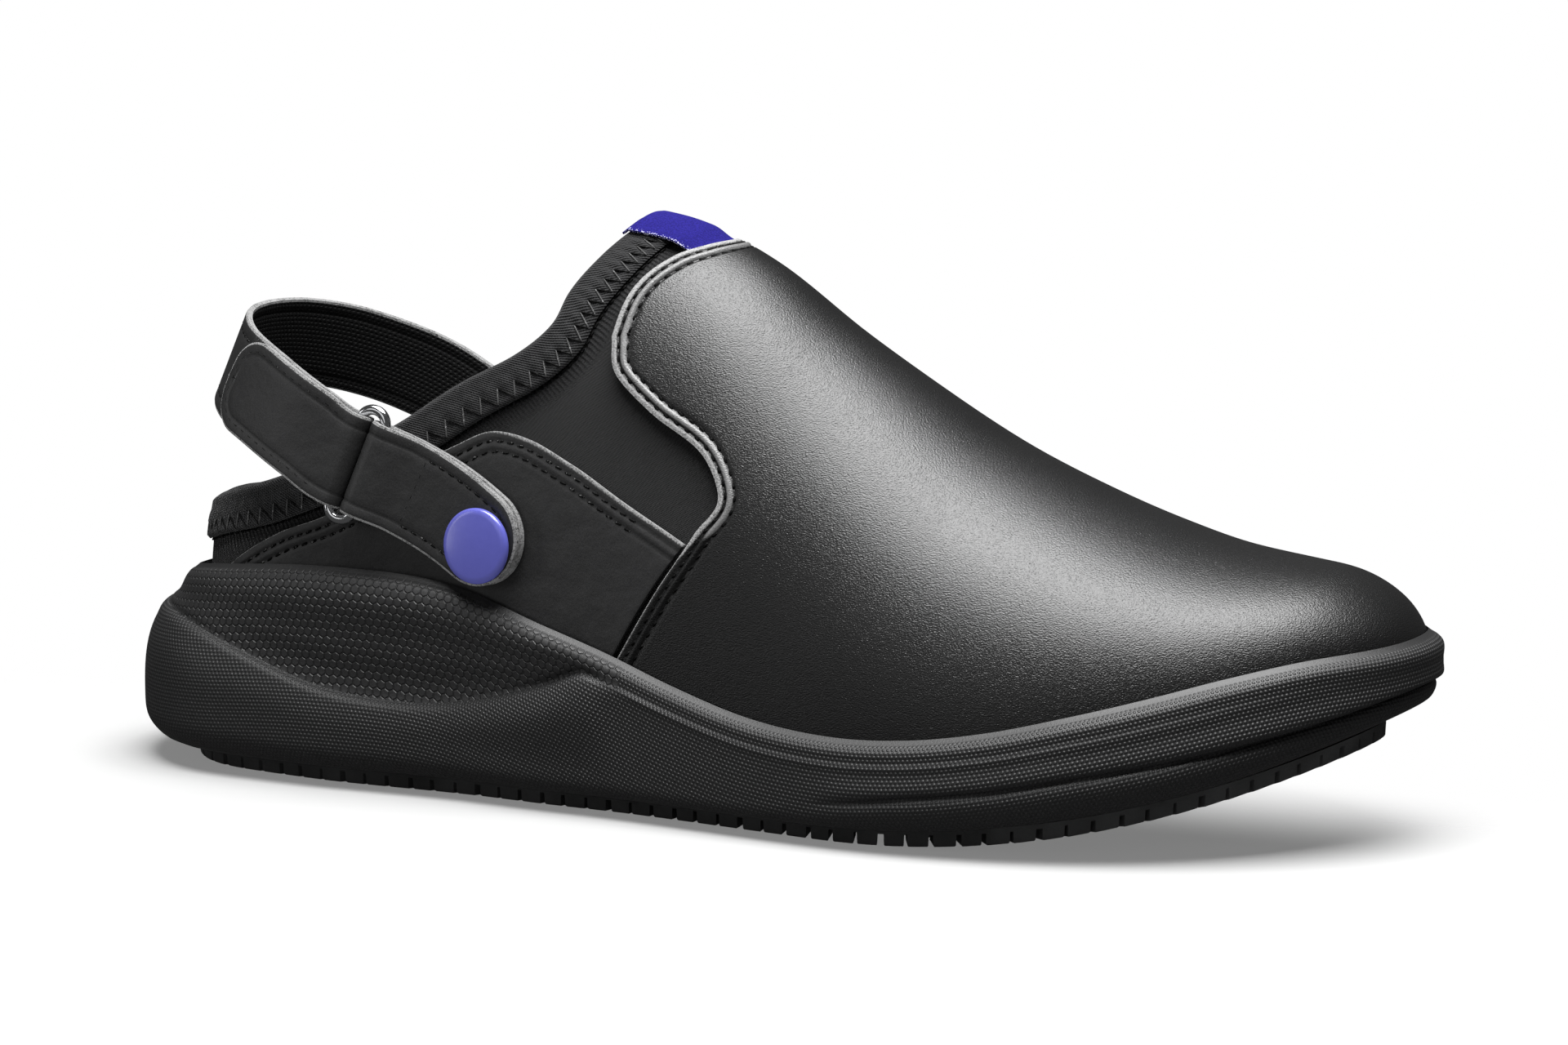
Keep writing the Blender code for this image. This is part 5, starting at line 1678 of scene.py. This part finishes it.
def make_label(colours):
    """The ribbon from the vamp's throat over the collar's edge."""
    throat = COLLAR[-1][0]
    half_width = LAST_WIDTH / 2 * float(section("width", throat) * (1 + section("shoulder", throat)))
    reach = LABEL_WIDTH / 2 / half_width
    across = np.linspace(-reach, reach, 49)
    front = edge_along(VAMP_THROAT, across) - 2 * 0.00015 / LAST_LENGTH
    back = edge_along(COLLAR[-4:], across) - 2 * 0.0016 / LAST_LENGTH
    shares = np.linspace(0.0, 1.0, 33)
    rows = []
    lifts = []
    for share in shares:
        along = (1 - share) * front + share * back
        rows.append(np.stack([along, across, np.sqrt(1 - along ** 2 - across ** 2)], -1))
        drop = ease(0.90, 1.0, share) * 0.0012 + (1 - ease(0.0, 0.30, share)) * 0.0010
        ripple = 0.00012 * np.sin(across / reach * 5.0 + 4 * share)
        lifts.append(OVERLAY_GAP + BINDING_WALL + 2 * CLEARANCE + LABEL_WALL - drop + ripple)
    dome = np.array(rows)
    points = off_last(dome, np.array(lifts))
    label = surface("throat_ribbon", points, last_normal(dome))
    selvedge = np.broadcast_to(hump(1.0, 0.07, np.abs(across) / reach), points.shape[:2])
    point_values(label, "selvedge", selvedge)
    apply_modifier(label, "SOLIDIFY", thickness=0.0005, offset=-1.0)
    smooth(label, 60.0)
    dress(label, label_finish(colours))
    settle(label, "label_blue", "throat_label")


def towards(direction):
    """The turn that points a camera or a light along a direction."""
    return direction.to_track_quat("-Z", "Y").to_euler()


def make_floor(colour):
    """Pale paper that fades out round the clog and behind it."""
    bpy.ops.object.select_all(action="DESELECT")
    bpy.ops.mesh.primitive_plane_add(size=3.0, location=(0.0, 0.0, 0.0))
    floor = bpy.context.object
    floor.name = "floor"
    f = Finish("floor_paper", colour, 0.9, 0.05)
    spot = f.node("ShaderNodeSeparateXYZ", None, {0: f.place()})
    x = Wire(f, spot.outputs[0]) / FLOOR_REACH_X
    y = Wire(f, spot.outputs[1]) / FLOOR_REACH_Y
    far = (x * x + y * y).maths("SQRT")
    behind = Wire(f, spot.outputs[1]).ramp(*FLOOR_BACK)
    f.put(f.shader, {"Alpha": (1 - far.ramp(*FLOOR_FADE)) * (1 - behind) * FLOOR_COVER})
    dress(floor, f.material)
    floor.visible_glossy = False


def make_camera(stage):
    """The camera at the photograph's angle, looking at the clog's middle."""
    target = Vector((0.006, 0.0, 0.060))
    flat = math.cos(stage.elevation)
    back = Vector((math.sin(stage.azimuth) * flat, -math.cos(stage.azimuth) * flat,
                   math.sin(stage.elevation)))
    data = bpy.data.cameras.new("photo_camera")
    camera = linked("photo_camera", data)
    data.sensor_width = 36.0
    data.lens = stage.lens
    data.clip_start = 0.01
    data.clip_end = 50.0
    camera.location = target + back * stage.distance
    camera.rotation_euler = towards(-back)
    bpy.context.scene.camera = camera


def make_lights(stage):
    """Softboxes: name, place, aim, width, height and power."""
    lights = [
        ("top_softbox", (0.14, -0.09, 1.25), (0.03, 0.0, 0.0), 1.12, 0.90, stage.key_power),
        ("front_softbox", (-0.25, -1.30, 0.55), (0.0, 0.0, 0.05), 0.9, 0.5, stage.fill_power),
        ("strip_softbox", (-1.05, -0.75, 0.35), (-0.05, 0.0, 0.06), 0.22, 0.8, stage.strip_power),
    ]
    for name, place, aim, wide, tall, power in lights:
        lamp = bpy.data.lights.new(name, "AREA")
        lamp.shape = "RECTANGLE"
        lamp.size = wide
        lamp.size_y = tall
        lamp.energy = power
        light = linked(name, lamp)
        light.location = place
        light.rotation_euler = towards(Vector(aim) - Vector(place))


def make_backdrop(stage):
    """A white backdrop for the camera, and a weaker light from all round."""
    world = bpy.data.worlds.new("studio")
    bpy.context.scene.world = world
    world.use_nodes = True
    tree = world.node_tree
    ground = tree.nodes["Background"]
    ground.inputs[0].default_value = (1.0, 1.0, 1.0, 1.0)
    path = tree.nodes.new("ShaderNodeLightPath")
    strength = tree.nodes.new("ShaderNodeMapRange")
    strength.inputs["To Min"].default_value = stage.ambient
    strength.inputs["To Max"].default_value = stage.backdrop
    tree.links.new(path.outputs["Is Camera Ray"], strength.inputs["Value"])
    tree.links.new(strength.outputs[0], ground.inputs[1])


def make_stage(stage):
    bpy.context.scene.view_settings.view_transform = "Standard"
    make_floor(stage.floor_colour)
    make_camera(stage)
    make_lights(stage)
    make_backdrop(stage)


# Settings, operators and the panel

def colour_setting(name, description, default):
    return bpy.props.FloatVectorProperty(name=name, description=description, subtype="COLOR", size=3,
                                         min=0.0, max=1.0, default=default)


def length_setting(name, description, default):
    return bpy.props.FloatProperty(name=name, description=description, default=default, min=0.0,
                                   unit="LENGTH", subtype="DISTANCE", precision=5)


def power_setting(name, description, default):
    return bpy.props.FloatProperty(name=name, description=description, default=default, unit="POWER")


class ClogColours(bpy.types.PropertyGroup):
    """Colours of the clog's materials."""
    leather: colour_setting("Vamp leather", "Pebbled leather of the front", (0.0028, 0.0028, 0.0029))
    strap: colour_setting("Smooth leather", "Leather of quarter and straps", (0.0200, 0.0200, 0.0203))
    raw_edge: colour_setting("Cut edges", "Fibres at the leather's cut edges", (0.30, 0.30, 0.30))
    fabric: colour_setting("Fabric", "Stretch fabric, collar band and lining", (0.0045, 0.0045, 0.0048))
    foam: colour_setting("Sole foam", "Moulded sole", (0.0175, 0.0175, 0.0179))
    tread: colour_setting("Tread", "Tread rubber", (0.032, 0.0325, 0.033))
    thread: colour_setting("Black thread", "Thread of the seams", (0.0015, 0.0015, 0.0015))
    # Colour of the painted glints on the collar zigzag's pale legs.
    zigzag_glint_colour: colour_setting("Grey thread", "Thread of the collar's zigzag", (0.30, 0.30, 0.30))
    button: colour_setting("Buttons", "Enamel of the strap buttons", (0.095, 0.100, 0.40))
    label: colour_setting("Label", "Woven ribbon over the throat", (0.013, 0.0100, 0.130))


class ClogSizes(bpy.types.PropertyGroup):
    """Sizes of the seams."""
    stitch_pitch: length_setting("Stitch pitch", "Distance from stitch to stitch", 0.0027)
    vamp_pitch: length_setting("Vamp stitch pitch", "Distance from stitch to stitch on the vamp", 0.0030)
    zigzag_pitch: length_setting("Zigzag pitch", "Distance between the zigzag's tips", 0.0034)
    first_row: length_setting("First row", "Quarter's first stitches from its edge", 0.0021)
    second_row: length_setting("Second row", "Quarter's second stitches from its edge", 0.0044)
    vamp_first_row: length_setting("Vamp first row", "Vamp's first stitches from its edge", 0.0016)
    vamp_second_row: length_setting("Vamp second row", "Vamp's second stitches from its edge", 0.0037)
    strap_row: length_setting("Strap row", "Stitches from the strap's edge", 0.0030)
    tab_row: length_setting("Tab row", "Stitches from the hook tab's edge", 0.0022)
    anchor_row: length_setting("Anchor row", "Stitches from the anchor's edge", 0.0028)


class ClogStage(bpy.types.PropertyGroup):
    """Camera, light and floor."""
    azimuth: bpy.props.FloatProperty(name="Azimuth", description="Camera's turn round the clog",
                                     default=math.radians(24.0), subtype="ANGLE")
    elevation: bpy.props.FloatProperty(name="Elevation", description="Camera's rise over the floor",
                                       default=math.radians(8.5), subtype="ANGLE")
    distance: length_setting("Distance", "Camera to the clog", 1.0)
    lens: bpy.props.FloatProperty(name="Lens", description="Focal length in millimetres", default=104.06)
    key_power: power_setting("Key", "Power of the softbox overhead", 50.0)
    fill_power: power_setting("Fill", "Power of the softbox in front", 1.0)
    strip_power: power_setting("Strip", "Power of the strip softbox by the heel", 1.4)
    ambient: bpy.props.FloatProperty(name="Ambient", description="Light from all round", default=0.055)
    backdrop: bpy.props.FloatProperty(name="Backdrop", description="Brightness of the backdrop",
                                      default=1.0)
    floor_colour: colour_setting("Floor", "Paper floor", (0.42, 0.42, 0.42))


class ClogStep(bpy.types.Operator):
    """Shared by the clog's steps."""
    bl_options = {"REGISTER", "UNDO"}


class CLOG_OT_sole(ClogStep):
    """Make the foam sole, the tread and the footbed."""
    bl_idname = "clog.sole"
    bl_label = "Sole"

    def execute(self, context):
        colours = context.scene.clog_colours
        make_sole(colours)
        make_tread(colours)
        make_footbed(colours)
        return {"FINISHED"}


class CLOG_OT_shell(ClogStep):
    """Make the stretch shell and its collar band."""
    bl_idname = "clog.shell"
    bl_label = "Shell and collar"

    def execute(self, context):
        make_shell(context.scene.clog_colours)
        make_collar_band(context.scene.clog_colours, context.scene.clog_sizes)
        return {"FINISHED"}


class CLOG_OT_vamp(ClogStep):
    """Make the pebbled leather front and its seams."""
    bl_idname = "clog.vamp"
    bl_label = "Vamp"

    def execute(self, context):
        make_vamp(context.scene.clog_colours, context.scene.clog_sizes)
        return {"FINISHED"}


class CLOG_OT_straps(ClogStep):
    """Make the quarter, the strap, its ring and the buttons."""
    bl_idname = "clog.straps"
    bl_label = "Quarter and straps"

    def execute(self, context):
        colours = context.scene.clog_colours
        sizes = context.scene.clog_sizes
        leather, raw = make_quarter(colours, sizes)
        strap = make_straps(colours, sizes, leather, raw)
        make_ring(strap)
        make_buttons(colours)
        return {"FINISHED"}


class CLOG_OT_label(ClogStep):
    """Make the woven label over the throat."""
    bl_idname = "clog.label"
    bl_label = "Label"

    def execute(self, context):
        make_label(context.scene.clog_colours)
        return {"FINISHED"}


class CLOG_OT_stage(ClogStep):
    """Set the floor, the lights and the camera."""
    bl_idname = "clog.stage"
    bl_label = "Stage"

    def execute(self, context):
        make_stage(context.scene.clog_stage)
        return {"FINISHED"}


STEPS = (CLOG_OT_stage, CLOG_OT_sole, CLOG_OT_shell, CLOG_OT_vamp, CLOG_OT_straps, CLOG_OT_label)
GROUPS = (ClogColours, ClogSizes, ClogStage)


class CLOG_PT_panel(bpy.types.Panel):
    """Lists the clog's steps."""
    bl_label = "Chef clog"
    bl_space_type = "VIEW_3D"
    bl_region_type = "UI"
    bl_category = "Clog"

    def draw(self, context):
        for step in STEPS:
            self.layout.operator(step.bl_idname)


def register():
    for group in GROUPS + STEPS + (CLOG_PT_panel,):
        bpy.utils.register_class(group)
    bpy.types.Scene.clog_colours = bpy.props.PointerProperty(type=ClogColours)
    bpy.types.Scene.clog_sizes = bpy.props.PointerProperty(type=ClogSizes)
    bpy.types.Scene.clog_stage = bpy.props.PointerProperty(type=ClogStage)


def unregister():
    del bpy.types.Scene.clog_stage
    del bpy.types.Scene.clog_sizes
    del bpy.types.Scene.clog_colours
    for group in reversed(GROUPS + STEPS + (CLOG_PT_panel,)):
        bpy.utils.unregister_class(group)


def main():
    register()
    bpy.ops.clog.stage()
    bpy.ops.clog.sole()
    bpy.ops.clog.shell()
    bpy.ops.clog.vamp()
    bpy.ops.clog.straps()
    bpy.ops.clog.label()


if __name__ == "__main__":
    main()
